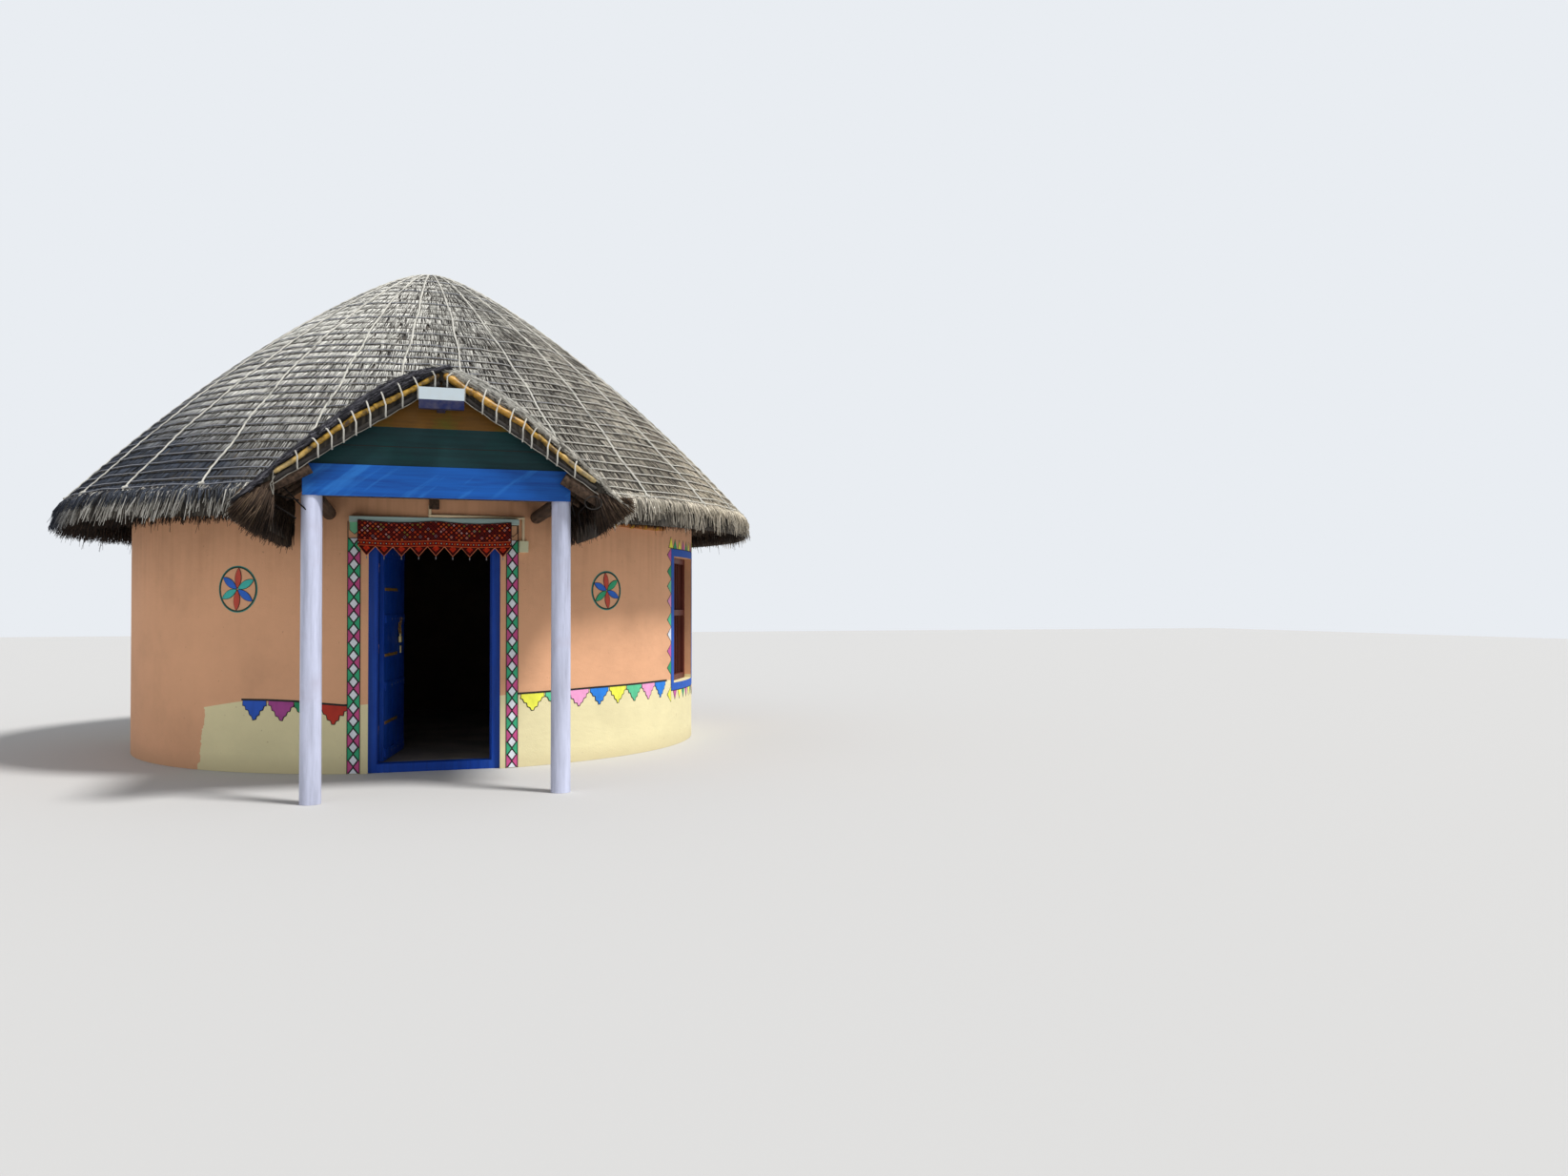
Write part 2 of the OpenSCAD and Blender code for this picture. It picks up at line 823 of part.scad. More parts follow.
floor_slab();
wall_front_left();
wall_left();
wall_back_left();
wall_back_right();
wall_right_back();
wall_under_window();
wall_over_window();
wall_front_right();
wall_over_door();
wall_plate();
roof_rafters();
roof_hub();
roof_hoops();
roof_thatch();
porch_post_left();
porch_post_right();
porch_side_logs();
porch_beam();
porch_fascia();
gable_boards_green();
gable_board_ochre();
porch_ridge_pole();
porch_purlins();
porch_thatch();
verge_bamboo();
verge_rods();
door_jamb_left();
door_jamb_right();
door_head();
door_sill();
door_stops();
door_hinge_pins();
door_leaf();
door_battens();
door_straps();
door_knuckles();
window_frame();
valance_rail();
valance();
conduit();
switch_box();
gable_lamp();
lamp_diffuser();
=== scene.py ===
import math

import bpy
import numpy as np
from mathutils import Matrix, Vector


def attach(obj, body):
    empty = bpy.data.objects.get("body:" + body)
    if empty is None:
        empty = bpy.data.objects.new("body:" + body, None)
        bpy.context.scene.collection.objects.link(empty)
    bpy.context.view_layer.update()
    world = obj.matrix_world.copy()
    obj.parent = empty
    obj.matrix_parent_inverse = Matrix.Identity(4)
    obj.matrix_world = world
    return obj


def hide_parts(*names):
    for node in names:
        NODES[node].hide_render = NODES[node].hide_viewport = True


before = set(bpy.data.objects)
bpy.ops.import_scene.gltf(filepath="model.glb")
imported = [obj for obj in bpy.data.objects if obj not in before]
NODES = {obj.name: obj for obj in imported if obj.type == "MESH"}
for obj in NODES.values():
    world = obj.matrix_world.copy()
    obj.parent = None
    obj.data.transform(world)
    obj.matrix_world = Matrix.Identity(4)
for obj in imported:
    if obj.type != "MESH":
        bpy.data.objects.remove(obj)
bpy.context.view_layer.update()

bl_info = {
    "name": "Round Thatched Hut",
    "version": (1, 0, 0),
    "blender": (4, 5, 0),
    "location": "View3D > Sidebar > Hut",
    "description": "Dresses the round hut's frame with thatch, ropes, painted patterns and fittings",
    "category": "Object",
}

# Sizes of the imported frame, in metres
WALL_R = 2.86
DOME_TOP = 5.021
DOME_PITCH, DOME_CROWN, DOME_BOW, DOME_R = 0.524, 0.3, 0.55, 3.44
GABLE_TOP, GABLE_HALF, GABLE_RISE = 3.11, 0.96, 0.64
PORCH_TOP, PORCH_PITCH, PORCH_ROUND, PORCH_X = 3.18, 1.05, 0.55, 1.4
VERGE_Y = -4.42
# The porch's thatch lies in front of this
PORCH_BACK_Y = -1.5
# Where the porch is, the dome's fringe leaves off this far from the middle
FRINGE_GAP = 1.22
# The height of the cream dado's edge at azimuths in degrees from the door
DADO_EDGE = [(-180, .66), (-101, .66), (-100, 0), (-43.1, 0), (-42.8, .545), (-34, .612), (-15, .583),
             (14, .65), (48, .674), (180, .674)]
# Nearer the axis than this, the mud is the room's, painted near black as painted shade inside it
INNER_SHADE_R = 2.54
# The window's azimuth in degrees, half its width, its foot and its head
WINDOW_AT, WINDOW_HALF, WINDOW_LOW, WINDOW_HIGH = 65.3, 0.45, 0.64, 1.94
# The valance's width and the pennants along its foot
VALANCE_W, VALANCE_TEETH = 1.27, 9
# The door's hinge from above, how far its leaf stands open, and the leaf's face from the hinge
HINGE, DOOR_OPEN, LEAF_FACE = (-0.4775, -2.638), math.radians(80), 0.052

# From the hut to the lamps, in metres; a sun's light doesn't depend on it
LAMP_DISTANCE = 12
# The camera that was fitted to the photograph: its place, tilt and turn in degrees, and lens in mm
CAMERA_AT, CAMERA_TILT, CAMERA_TURN, CAMERA_LENS = (-0.236, -13.498, 1.457), 90.74, -17.72, 27.09
# The axes that a board's grain runs along
ACROSS, UPRIGHT = 0, 2
# Shortest and longest bundle of straw
BUNDLE = (0.135, 0.19)
# The shares of the dome's courses at which its crown's piece ends, and its middle's
CROWN_END, MIDDLE_END = 0.62, 0.83


def to_linear(code):
    """Turns an sRGB hex colour into linear values."""
    parts = [int(code[i:i + 2], 16) / 255 for i in (1, 3, 5)]
    return [v / 12.92 if v <= 0.04045 else ((v + 0.055) / 1.055) ** 2.4 for v in parts] + [1.0]


def colour(name, code, words):
    return bpy.props.FloatVectorProperty(
        name=name, description=words, subtype="COLOR", size=4, min=0, max=1,
        default=to_linear(code))


def length(name, value, words):
    return bpy.props.FloatProperty(
        name=name, description=words, default=value, min=0, unit="LENGTH", subtype="DISTANCE")


class HutSizes(bpy.types.PropertyGroup):
    """Sizes that a user would change."""
    straw_width: length("Straw width", 0.0125, "Width of a bundle of straw")
    straw_gap: length("Straw spacing", 0.0095, "Distance between bundles along a course")
    tuft: length("Tuft", 0.045, "Width of a tuft of bundles that lie the same way")
    course: length("Course", 0.12, "Distance between two courses of thatch, as in the frame")
    fringe: length("Fringe", 0.205, "Height of the straw that hangs at the eave")
    rope: length("Rope", 0.017, "Thickness of the ropes down the roof")
    twine: length("Twine", 0.009, "Thickness of the twine round the roof")
    bamboo: length("Bamboo", 0.046, "Thickness of the split bamboo")
    paint: length("Paint", 0.0016, "Thickness of one coat in the painted patterns")
    stud: length("Stud", 0.012, "Radius of a brass stud")
    ropes: bpy.props.IntProperty(
        name="Ropes", description="Number of ropes down the roof", default=27, min=3)


class HutColours(bpy.types.PropertyGroup):
    """Colours that a user would change."""
    wall: colour("Wall", "#E2AA82", "Salmon limewash on the wall")
    dado: colour("Dado", "#E9DDAE", "Cream limewash at the foot of the wall")
    straw_light: colour("Light straw", "#F1EEE5", "Straw bleached by the sun")
    straw_mid: colour("Grey straw", "#B7B4AB", "Weathered straw")
    straw_dark: colour("Dark straw", "#3E3C3B", "Straw in the gaps")
    rope: colour("Rope", "#CFCBC0", "Cotton rope")
    bamboo: colour("Bamboo", "#B48A2C", "Split bamboo")
    timber: colour("Timber", "#4A3A2E", "Round poles under the roof")
    fascia: colour("Blue board", "#10509E", "Blue paint of the long board")
    green: colour("Green boards", "#0B3032", "Green paint of the gable boards")
    ochre: colour("Ochre board", "#6C4812", "Ochre paint of the top board")
    door: colour("Door", "#0C3F9E", "Blue paint of the door and its frame")
    post: colour("Post", "#C3C6DA", "White paint of the posts")
    cloth: colour("Cloth", "#8E1A12", "Red ground of the valance's band")


def sizes():
    return bpy.context.scene.hut_sizes


def tints():
    return bpy.context.scene.hut_colours


# Making and finishing pieces

def clear_selection():
    if bpy.context.object and bpy.context.object.mode != "OBJECT":
        bpy.ops.object.mode_set(mode="OBJECT")
    bpy.ops.object.select_all(action="DESELECT")


def pick(piece):
    clear_selection()
    piece.select_set(True)
    bpy.context.view_layer.objects.active = piece


def settle(piece, name, look, body="hut", smooth=None):
    """Puts a finished piece's place into its mesh, names it, paints it and lets it ride."""
    pick(piece)
    bpy.ops.object.transform_apply(location=True, rotation=True, scale=True)
    if smooth is not None:
        bpy.ops.object.shade_smooth_by_angle(angle=math.radians(smooth))
    piece.name = piece.data.name = name
    piece.data.materials.clear()
    piece.data.materials.append(finish(look))
    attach(piece, body)
    return piece


def joined(pieces):
    """Joins several pieces into the first."""
    clear_selection()
    for piece in pieces:
        piece.select_set(True)
    bpy.context.view_layer.objects.active = pieces[0]
    if len(pieces) > 1:
        bpy.ops.object.join()
    return pieces[0]


def modified(piece, kind, **settings):
    """Adds one modifier and applies it."""
    pick(piece)
    modifier = piece.modifiers.new(kind.title(), kind)
    for name, value in settings.items():
        setattr(modifier, name, value)
    bpy.ops.object.modifier_apply(modifier=modifier.name)
    return piece


def block(centre, size, bevel=0.0, turn=0.0):
    """A bevelled block, turned about Z."""
    clear_selection()
    bpy.ops.mesh.primitive_cube_add(size=1, location=centre, rotation=(0, 0, turn))
    piece = bpy.context.object
    piece.scale = size
    bpy.ops.object.transform_apply(location=False, rotation=False, scale=True)
    if bevel:
        modified(piece, "BEVEL", width=bevel, segments=2)
    return piece


def ring(place, major, minor, segments, sides, rotation):
    clear_selection()
    bpy.ops.mesh.primitive_torus_add(
        major_radius=major, minor_radius=minor, major_segments=segments, minor_segments=sides,
        location=place, rotation=rotation)
    return bpy.context.object


def ball(place, radius, segments, rings, scale=(1, 1, 1)):
    clear_selection()
    bpy.ops.mesh.primitive_uv_sphere_add(
        segments=segments, ring_count=rings, radius=radius, scale=scale, location=place)
    return bpy.context.object


def as_mesh(curve):
    """Turns a curve into the mesh of a new piece."""
    piece = bpy.data.objects.new(curve.name, curve)
    bpy.context.scene.collection.objects.link(piece)
    pick(piece)
    bpy.ops.object.convert(target="MESH")
    return bpy.context.object


def tube(paths, thickness, sides=6, girths=None):
    """Round tubes along paths of points, as one mesh. girths gives each path's thickness at each
    of its points, as a share of the whole."""
    clear_selection()
    line = bpy.data.curves.new("tube", "CURVE")
    line.dimensions = "3D"
    line.bevel_depth = thickness / 2
    line.bevel_resolution = max(0, sides // 2 - 2)
    line.use_fill_caps = True
    for path, girth in zip(paths, girths or [None] * len(paths)):
        spline = line.splines.new("POLY")
        spline.points.add(len(path) - 1)
        for i, (point, place) in enumerate(zip(spline.points, path)):
            point.co = (*place, 1)
            if girth is not None:
                point.radius = girth[i]
    return as_mesh(line)


def on_wall(across, height, proud=0.0):
    """A place on the round wall, from the distance along it and the height."""
    turn = across / WALL_R
    return ((WALL_R + proud) * math.sin(turn), -(WALL_R + proud) * math.cos(turn), height)


def arc(degrees):
    return math.radians(degrees) * WALL_R


def cut_outline(outlines, thickness):
    """Closed outlines filled and thickened as one flat piece; an outline within another is a hole."""
    clear_selection()
    shape = bpy.data.curves.new("outline", "CURVE")
    shape.dimensions = "2D"
    shape.fill_mode = "BOTH"
    shape.extrude = thickness / 2
    for outline in outlines:
        spline = shape.splines.new("POLY")
        spline.points.add(len(outline) - 1)
        for point, place in zip(spline.points, outline):
            point.co = (place[0], place[1], 0, 1)
        spline.use_cyclic_u = True
    piece = as_mesh(shape)
    bpy.ops.object.mode_set(mode="EDIT")
    bpy.ops.mesh.select_all(action="SELECT")
    bpy.ops.mesh.remove_doubles(threshold=0.00005)
    bpy.ops.mesh.normals_make_consistent(inside=False)
    bpy.ops.object.mode_set(mode="OBJECT")
    return piece


def painted(name, outlines, coat, look, step=0.06):
    """A flat painted shape, cut every few centimetres and bent round the wall.
    Each higher coat lies over the ones under it, and all are sunk a little into the plaster."""
    proud, sunk = sizes().paint * coat, 0.002
    piece = cut_outline(outlines, proud + sunk)
    across = [v.co.x for v in piece.data.vertices]
    bpy.ops.object.mode_set(mode="EDIT")
    cuts = np.arange(math.ceil(min(across) / step) * step, max(across), step)
    for cut in cuts:
        bpy.ops.mesh.select_all(action="SELECT")
        bpy.ops.mesh.bisect(plane_co=(cut, 0, 0), plane_no=(1, 0, 0))
    bpy.ops.object.mode_set(mode="OBJECT")
    middle = (proud - sunk) / 2
    for vertex in piece.data.vertices:
        u, z, depth = vertex.co
        vertex.co = on_wall(u, z, depth + middle)
    return settle(piece, name, look)


def painted_halves(name, outlines, coat, look, step=0.06):
    """Outlines that touch their neighbours, as two pieces that each take every second one."""
    painted(name, outlines[0::2], coat, look, step)
    painted(name + "_2", outlines[1::2], coat, look, step)


def rectangle(left, right, low, high):
    return [(left, low), (right, low), (right, high), (left, high)]


def grown(outline, by):
    """The same outline, moved out on all sides."""
    points = np.array(outline, float)
    before, after = np.roll(points, 1, 0), np.roll(points, -1, 0)
    along = after - before
    along /= np.linalg.norm(along, axis=1)[:, None]
    normal = np.stack([along[:, 1], -along[:, 0]], 1)
    area = np.sum(points[:, 0] * after[:, 1] - after[:, 0] * points[:, 1])
    return points + normal * by * (1 if area > 0 else -1)


# Materials

def rgba(shade):
    """Four linear values from a hex code, the name of one of HutColours, or three or four values."""
    if isinstance(shade, str):
        return to_linear(shade) if shade.startswith("#") else list(getattr(tints(), shade))
    return [*shade, 1] if len(shade) == 3 else list(shade)


def shade_of(base, factor):
    """The colour made lighter or darker."""
    return [*(min(1, value * factor) for value in rgba(base)[:3]), 1]


def feed(tree, socket, value):
    """Links a socket to another, or sets it; a colour may be a hex code or one of HutColours."""
    if isinstance(value, bpy.types.NodeSocket):
        tree.links.new(value, socket)
    else:
        socket.default_value = rgba(value) if isinstance(value, str) else value


def add(tree, kind, inputs=None, **settings):
    """Adds one node with its settings, and sets or links its inputs."""
    made = tree.nodes.new("ShaderNode" + kind)
    for name, value in settings.items():
        setattr(made, name, value)
    for name, value in (inputs or {}).items():
        feed(tree, made.inputs[name], value)
    return made


def maths(tree, how, first, second=0.0, third=0.0, clamp=False):
    values = {0: first, 1: second, 2: third}
    return add(tree, "Math", values, operation=how, use_clamp=clamp).outputs[0]


class Surface:
    """A material in the making, with short ways to add the nodes that it needs."""

    def __init__(self, name, roughness, specular=0.5, metallic=0.0):
        self.material = bpy.data.materials.new(name)
        self.material.use_nodes = True
        self.tree = self.material.node_tree
        self.tree.nodes.clear()
        self.shader = self.add("BsdfPrincipled", {
            "Roughness": roughness, "Specular IOR Level": specular, "Metallic": metallic})
        self.add("OutputMaterial", {0: self.shader.outputs[0]})

    def add(self, kind, inputs=None, **settings):
        return add(self.tree, kind, inputs, **settings)

    def maths(self, how, *values, clamp=False):
        return maths(self.tree, how, *values, clamp=clamp)

    def times(self, first, second, clamp=False):
        return self.maths("MULTIPLY", first, second, clamp=clamp)

    def times_plus(self, first, second, third, clamp=False):
        return self.maths("MULTIPLY_ADD", first, second, third, clamp=clamp)

    def plus(self, first, second):
        return self.maths("ADD", first, second)

    def minus(self, first, second):
        return self.maths("SUBTRACT", first, second)

    def below(self, first, second):
        return self.maths("LESS_THAN", first, second)

    def above(self, first, second):
        return self.maths("GREATER_THAN", first, second)

    def eased(self, value, start, end, low, high):
        """A value carried from one range to another and held at its ends."""
        return self.add("MapRange", {0: value, 1: start, 2: end, 3: low, 4: high}).outputs[0]

    def place(self):
        return self.add("TexCoord").outputs["Object"]

    def xyz(self):
        return self.add("SeparateXYZ", {0: self.place()}).outputs

    def cloudy(self, scale, stretch=(1, 1, 1), detail=3.0, rough=0.55):
        """Noise on Object coordinates; scale is in features to the metre."""
        mapped = self.add("Mapping", {"Vector": self.place(), "Scale": stretch}).outputs[0]
        noise = {"Vector": mapped, "Scale": scale, "Detail": detail, "Roughness": rough}
        return self.add("TexNoise", noise).outputs["Fac"]

    def ramp(self, factor, *stops, how="LINEAR"):
        """A colour ramp on a factor; stops are places and colours."""
        made = self.add("ValToRGB", {"Fac": factor})
        scale = made.color_ramp
        scale.elements[0].position = 0
        for place, _ in stops[1:-1]:
            scale.elements.new(place)
        for element, (place, shade) in zip(scale.elements, stops):
            element.position = place
            element.color = rgba(shade)
        scale.interpolation = how
        return made.outputs["Color"]

    def toned(self, factor, base, *stops):
        """A ramp of darker and lighter shades of one colour; stops are places and factors."""
        return self.ramp(factor, *((place, shade_of(base, share)) for place, share in stops))

    def mask(self, factor, start, end):
        return self.ramp(factor, (start, (0, 0, 0)), (end, (1, 1, 1)))

    def mixed(self, factor, first, second, how="MIX"):
        inputs = {0: factor, 6: first, 7: second}
        return self.add("Mix", inputs, data_type="RGBA", blend_type=how).outputs[2]

    def finished(self, shade, height=None, strength=0.0, distance=0.0):
        """Colours the shader, gives it its fine relief, and hands over the material."""
        feed(self.tree, self.shader.inputs["Base Color"], shade)
        if height is not None:
            bump = self.add("Bump", {"Height": height, "Strength": strength, "Distance": distance})
            feed(self.tree, self.shader.inputs["Normal"], bump.outputs[0])
        return self.material


def limewashed_mud_plaster():
    """Mud plaster, hand-trowelled and limewashed: matt, cloudy, with fine grit and rain streaks, with
    painted shade under the eave and on the inner face.
    """
    look = Surface("limewashed_mud_plaster", 0.9)
    place = look.place()
    x, y, z = look.add("SeparateXYZ", {0: place}).outputs
    # Azimuth from the door, as a share of the full turn
    azimuth = look.maths("ARCTAN2", x, look.times(y, -1.0))
    ragged = look.minus(look.cloudy(9, detail=4), 0.5)
    turn = look.times_plus(ragged, 0.008, look.times_plus(azimuth, 0.159155, 0.5))
    edge = look.ramp(turn, *((degrees / 360 + 0.5, [high] * 3) for degrees, high in DADO_EDGE))
    level = look.times_plus(ragged, 0.018, z)
    mottle = look.cloudy(1.6, detail=5, rough=0.6)
    salmon = look.toned(mottle, "wall", (0.25, 0.86), (0.5, 1), (0.78, 1.08))
    cream = look.toned(mottle, "dado", (0.25, 0.88), (0.6, 1), (0.8, 1.05))
    both = look.mixed(look.below(level, edge), salmon, cream)
    # Rain streaks, about 60 mm apart, with painted shade that darkens them towards the eave
    streak = look.mask(look.cloudy(16, (1, 1, 0.06), detail=4), 0.42, 0.72)
    painted_eave_shade = look.eased(z, 1.3, 2.5, 0.0, 0.34)
    both = look.mixed(look.times(streak, painted_eave_shade), both, "#A9724C")
    # Splashed earth within a hand's breadth of the ground
    low = look.eased(level, 0.16, 0.0, 0.0, 0.5)
    both = look.mixed(look.times(low, mottle), both, "#8F7455")
    spots = look.mask(look.cloudy(34, detail=1), 0.76, 0.80)
    both = look.mixed(look.times(spots, 0.35), both, "#8A5A3C")
    # The inner face is bare mud, painted near black as painted shade inside the room
    flat = look.add("VectorMath", {0: place, 1: (1, 1, 0)}, operation="MULTIPLY").outputs[0]
    from_axis = look.add("VectorMath", {0: flat}, operation="LENGTH").outputs["Value"]
    painted_inner_shade = look.ramp(mottle, (0.3, "#2A211B"), (0.7, "#4A392C"))
    both = look.mixed(look.below(from_axis, INNER_SHADE_R), both, painted_inner_shade)
    trowel = look.cloudy(5, (1, 1, 1.8), detail=2)
    return look.finished(both, look.times_plus(look.cloudy(95), 0.22, trowel), 0.5, 0.012)


def straw(name, light, mid, dark, weather=1.0, shade_share=1.0):
    """Weathered grass thatch, matt: each tuft its own grey, bleached high on the left side,
    with dark bluish painted shade low on it and painted warm sunlight on the right."""
    look = Surface(name, 0.85, 0.2)
    x, _, z = look.xyz()
    patch = look.minus(look.cloudy(1.3, detail=4, rough=0.65), 0.5)
    fibre = look.minus(look.cloudy(210, (1, 1, 0.25), detail=1), 0.5)
    streak = look.minus(look.cloudy(22, (1, 1, 0.3)), 0.5)
    level = look.add("Attribute", attribute_name="tone").outputs["Fac"]
    for noise, share in ((patch, 0.6), (fibre, 0.3), (streak, 0.6 * weather)):
        level = look.times_plus(noise, share, level)
    bleached = look.eased(z, 2.9, 4.3, 0.0, 0.24 * weather)
    level = look.plus(level, bleached)
    right = look.maths("MAXIMUM", x, -0.4)
    level = look.times_plus(look.times(right, bleached), -0.85, level, clamp=True)
    shades = look.ramp(level, (0.06, dark), (0.42, mid), (0.9, light))
    # Painted shade, darkest and bluest where the roof is low and far to the left
    painted_shade = look.times_plus(x, -0.6, look.times_plus(z, -0.9, 2.15))
    painted_shade = look.times_plus(patch, 1.6, painted_shade, clamp=True)
    far_shade = look.eased(x, -2.85, -3.3, shade_share, 1.0)
    painted_shade = look.times(painted_shade, look.times(far_shade, min(1.0, 2 * weather)))
    deepest_shade = look.eased(x, -2.5, -3.3, 0.0, 1.0)
    shade_colour = look.mixed(1.0, shades, look.mixed(deepest_shade, "#5A6274", "#3B4152"), "MULTIPLY")
    shades = look.mixed(painted_shade, shades, shade_colour)
    # Painted warm sunlight on the right side
    painted_sunlight = look.eased(x, 0.3, 2.6, 0.0, 0.9 * weather)
    return look.finished(look.mixed(painted_sunlight, shades, look.mixed(1.0, shades, "#F3E7D4", "MULTIPLY")))


def painted_sidelight_twine(name, pale, shaded_tone):
    """Plastic twine, painted pale on the right as painted sunlight and painted dull on the left as painted
    shade.
    """
    look = Surface(name, 0.7)
    level = look.times_plus(look.cloudy(3.5, detail=4), 2.2, look.times_plus(look.xyz()[0], 0.3, -0.75))
    return look.finished(look.ramp(level, (0.2, shaded_tone), (0.8, pale)))


def packed_straw():
    """The body of the thatch under its bundles, and its cut faces: fine fibres down the slope, painted dark
    as painted shade in the gaps between bundles.
    """
    look = Surface("packed_straw", 0.95)
    x, y, z = look.xyz()
    turn = look.maths("ARCTAN2", x, y)
    bent = look.add("CombineXYZ", {0: look.times(turn, 150.0), 1: look.times(z, 6.0)}).outputs[0]
    fibre = look.add("TexNoise", {"Vector": bent, "Scale": 1.0, "Detail": 3.0}).outputs["Fac"]
    shades = look.ramp(fibre, (0.3, "#1E1C1A"), (0.55, "#4A443C"), (0.8, "#7A7264"))
    return look.finished(shades, fibre, 0.8, 0.01)


def cotton_rope(name, base):
    """Laid cotton rope or twine, greyed by weather; the lay shows as fine slanting bumps."""
    look = Surface(name, 0.85)
    lay = look.add("TexWave", {"Vector": look.place(), "Scale": 60, "Distortion": 2.0},
                   bands_direction="DIAGONAL").outputs["Fac"]
    shades = look.toned(look.cloudy(7), base, (0.3, 0.6), (0.5, 1), (0.8, 1.15))
    return look.finished(shades, lay, 0.6, 0.004)


def brushed_paint(name, base, grain_axis, worn, wear=0.25, roughness=0.45, grain=26.0):
    """Oil paint brushed on sawn timber, dulled by the sun: the grain and brush marks run along the
    board, and the paint is thin and pale in worn patches."""
    look = Surface(name, roughness, 0.22)
    stretch = [grain] * 3
    stretch[grain_axis] = 1.2
    brush = look.cloudy(1.0, stretch, detail=6, rough=0.65)
    patch = look.cloudy(3.2, detail=4, rough=0.6)
    thin = look.times(look.mask(patch, 0.5, 0.7), brush)
    gloss = look.eased(patch, 0.3, 0.7, roughness - 0.1, roughness + 0.2)
    feed(look.tree, look.shader.inputs["Roughness"], gloss)
    shades = look.toned(brush, base, (0.25, 0.62), (0.5, 1), (0.75, 1.3))
    shades = look.mixed(look.times(thin, wear * 2.5, clamp=True), shades, worn)
    return look.finished(shades, brush, 0.45, 0.004)


def poster_paint(name, base):
    """Poster paint laid on plaster by hand: matt, a little streaky and uneven."""
    look = Surface("poster_paint_" + name, 0.8)
    stroke = look.cloudy(14, (1, 1, 0.5), detail=4)
    shades = look.toned(stroke, base, (0.25, 0.8), (0.5, 1), (0.8, 1.14))
    return look.finished(shades, look.cloudy(95), 0.3, 0.003)


def round_timber():
    """Peeled round poles, grey-brown: long cracks and bleached ridges."""
    look = Surface("round_timber", 0.8, 0.2)
    crack = look.cloudy(40, (1, 0.06, 1), detail=5)
    shades = look.toned(crack, "timber", (0.3, 0.35), (0.5, 1), (0.75, 1.8))
    return look.finished(shades, crack, 0.7, 0.006)


def split_bamboo():
    """Sun-dried split bamboo: golden, waxy, with brown flecks; painted more orange high on the right
    as painted sunlight, and cream at the lower ends."""
    look = Surface("split_bamboo", 0.42)
    x, _, z = look.xyz()
    fleck = look.cloudy(13, detail=5, rough=0.7)
    shades = look.ramp(fleck, (0.36, "#3A2412"), (0.45, shade_of("bamboo", 0.45)), (0.56, "bamboo"),
                       (0.75, "#D2AC54"))
    high = look.times(look.above(x, 0.0), look.above(z, 2.78))
    painted_sunlight_orange = look.mixed(1.0, shades, "#F2D58C", "MULTIPLY")
    shades = look.mixed(look.times(high, 0.5), shades, painted_sunlight_orange)
    ends = look.eased(z, 2.62, 2.42, 0.0, 0.6)
    shades = look.mixed(look.times(ends, fleck), shades, "#E9D9A6")
    return look.finished(shades, look.cloudy(120, detail=2), 0.3, 0.003)


def paint_with_light_streaks(name, base, light, dark):
    """Oil paint on a long board: fine brush marks along it, and broad slanting streaks of painted
    sunlight between the shadows of the straw above, most of them on its left half."""
    look = Surface(name, 0.45, 0.22)
    brush = look.cloudy(1.0, (1.2, 26, 26), detail=6, rough=0.65)
    shades = look.ramp(brush, (0.3, dark), (0.5, base), (0.75, shade_of(base, 1.25)))
    slant = {"Vector": look.place(), "Rotation": (0, math.radians(38), 0)}
    turned = look.add("Mapping", slant).outputs[0]
    slanted = look.add("Mapping", {"Vector": turned, "Scale": (2.2, 1, 17)}).outputs[0]
    stroke = look.add("TexNoise", {"Vector": slanted, "Scale": 1.0, "Detail": 5.0}).outputs["Fac"]
    left = look.eased(look.xyz()[0], -0.8, 0.2, 0.04, -0.12)
    painted_light_streaks = look.mask(look.plus(stroke, left), 0.48, 0.64)
    return look.finished(look.mixed(look.times(painted_light_streaks, 0.55), shades, light), brush, 0.45, 0.004)


def dull_brass(name, metallic, dark, mid, pale):
    """Sheet brass under dust and old lacquer: yellow metal with brown tarnish."""
    look = Surface(name, 0.42, metallic=metallic)
    return look.finished(look.ramp(look.cloudy(30, detail=4), (0.3, dark), (0.6, mid), (0.8, pale)))


def moulded_plastic(name, base, roughness):
    """Injection-moulded plastic, dusty from standing outdoors."""
    look = Surface(name, roughness, 0.18)
    dusty = [a + (b - a) * 0.12 for a, b in zip(rgba(base), to_linear("#B8A888"))]
    shades = look.ramp(look.cloudy(15, detail=4), (0.35, base), (0.75, dusty))
    return look.finished(shades, look.cloudy(60, detail=2), 0.15, 0.001)


def trowelled_cement():
    """Cement floor, trowelled smooth and dusty, painted dark as painted shade inside the room."""
    look = Surface("trowelled_cement", 0.8)
    shades = look.ramp(look.cloudy(2.5, detail=6), (0.3, "#544D44"), (0.7, "#776E62"))
    return look.finished(shades, look.cloudy(60), 0.25, 0.003)


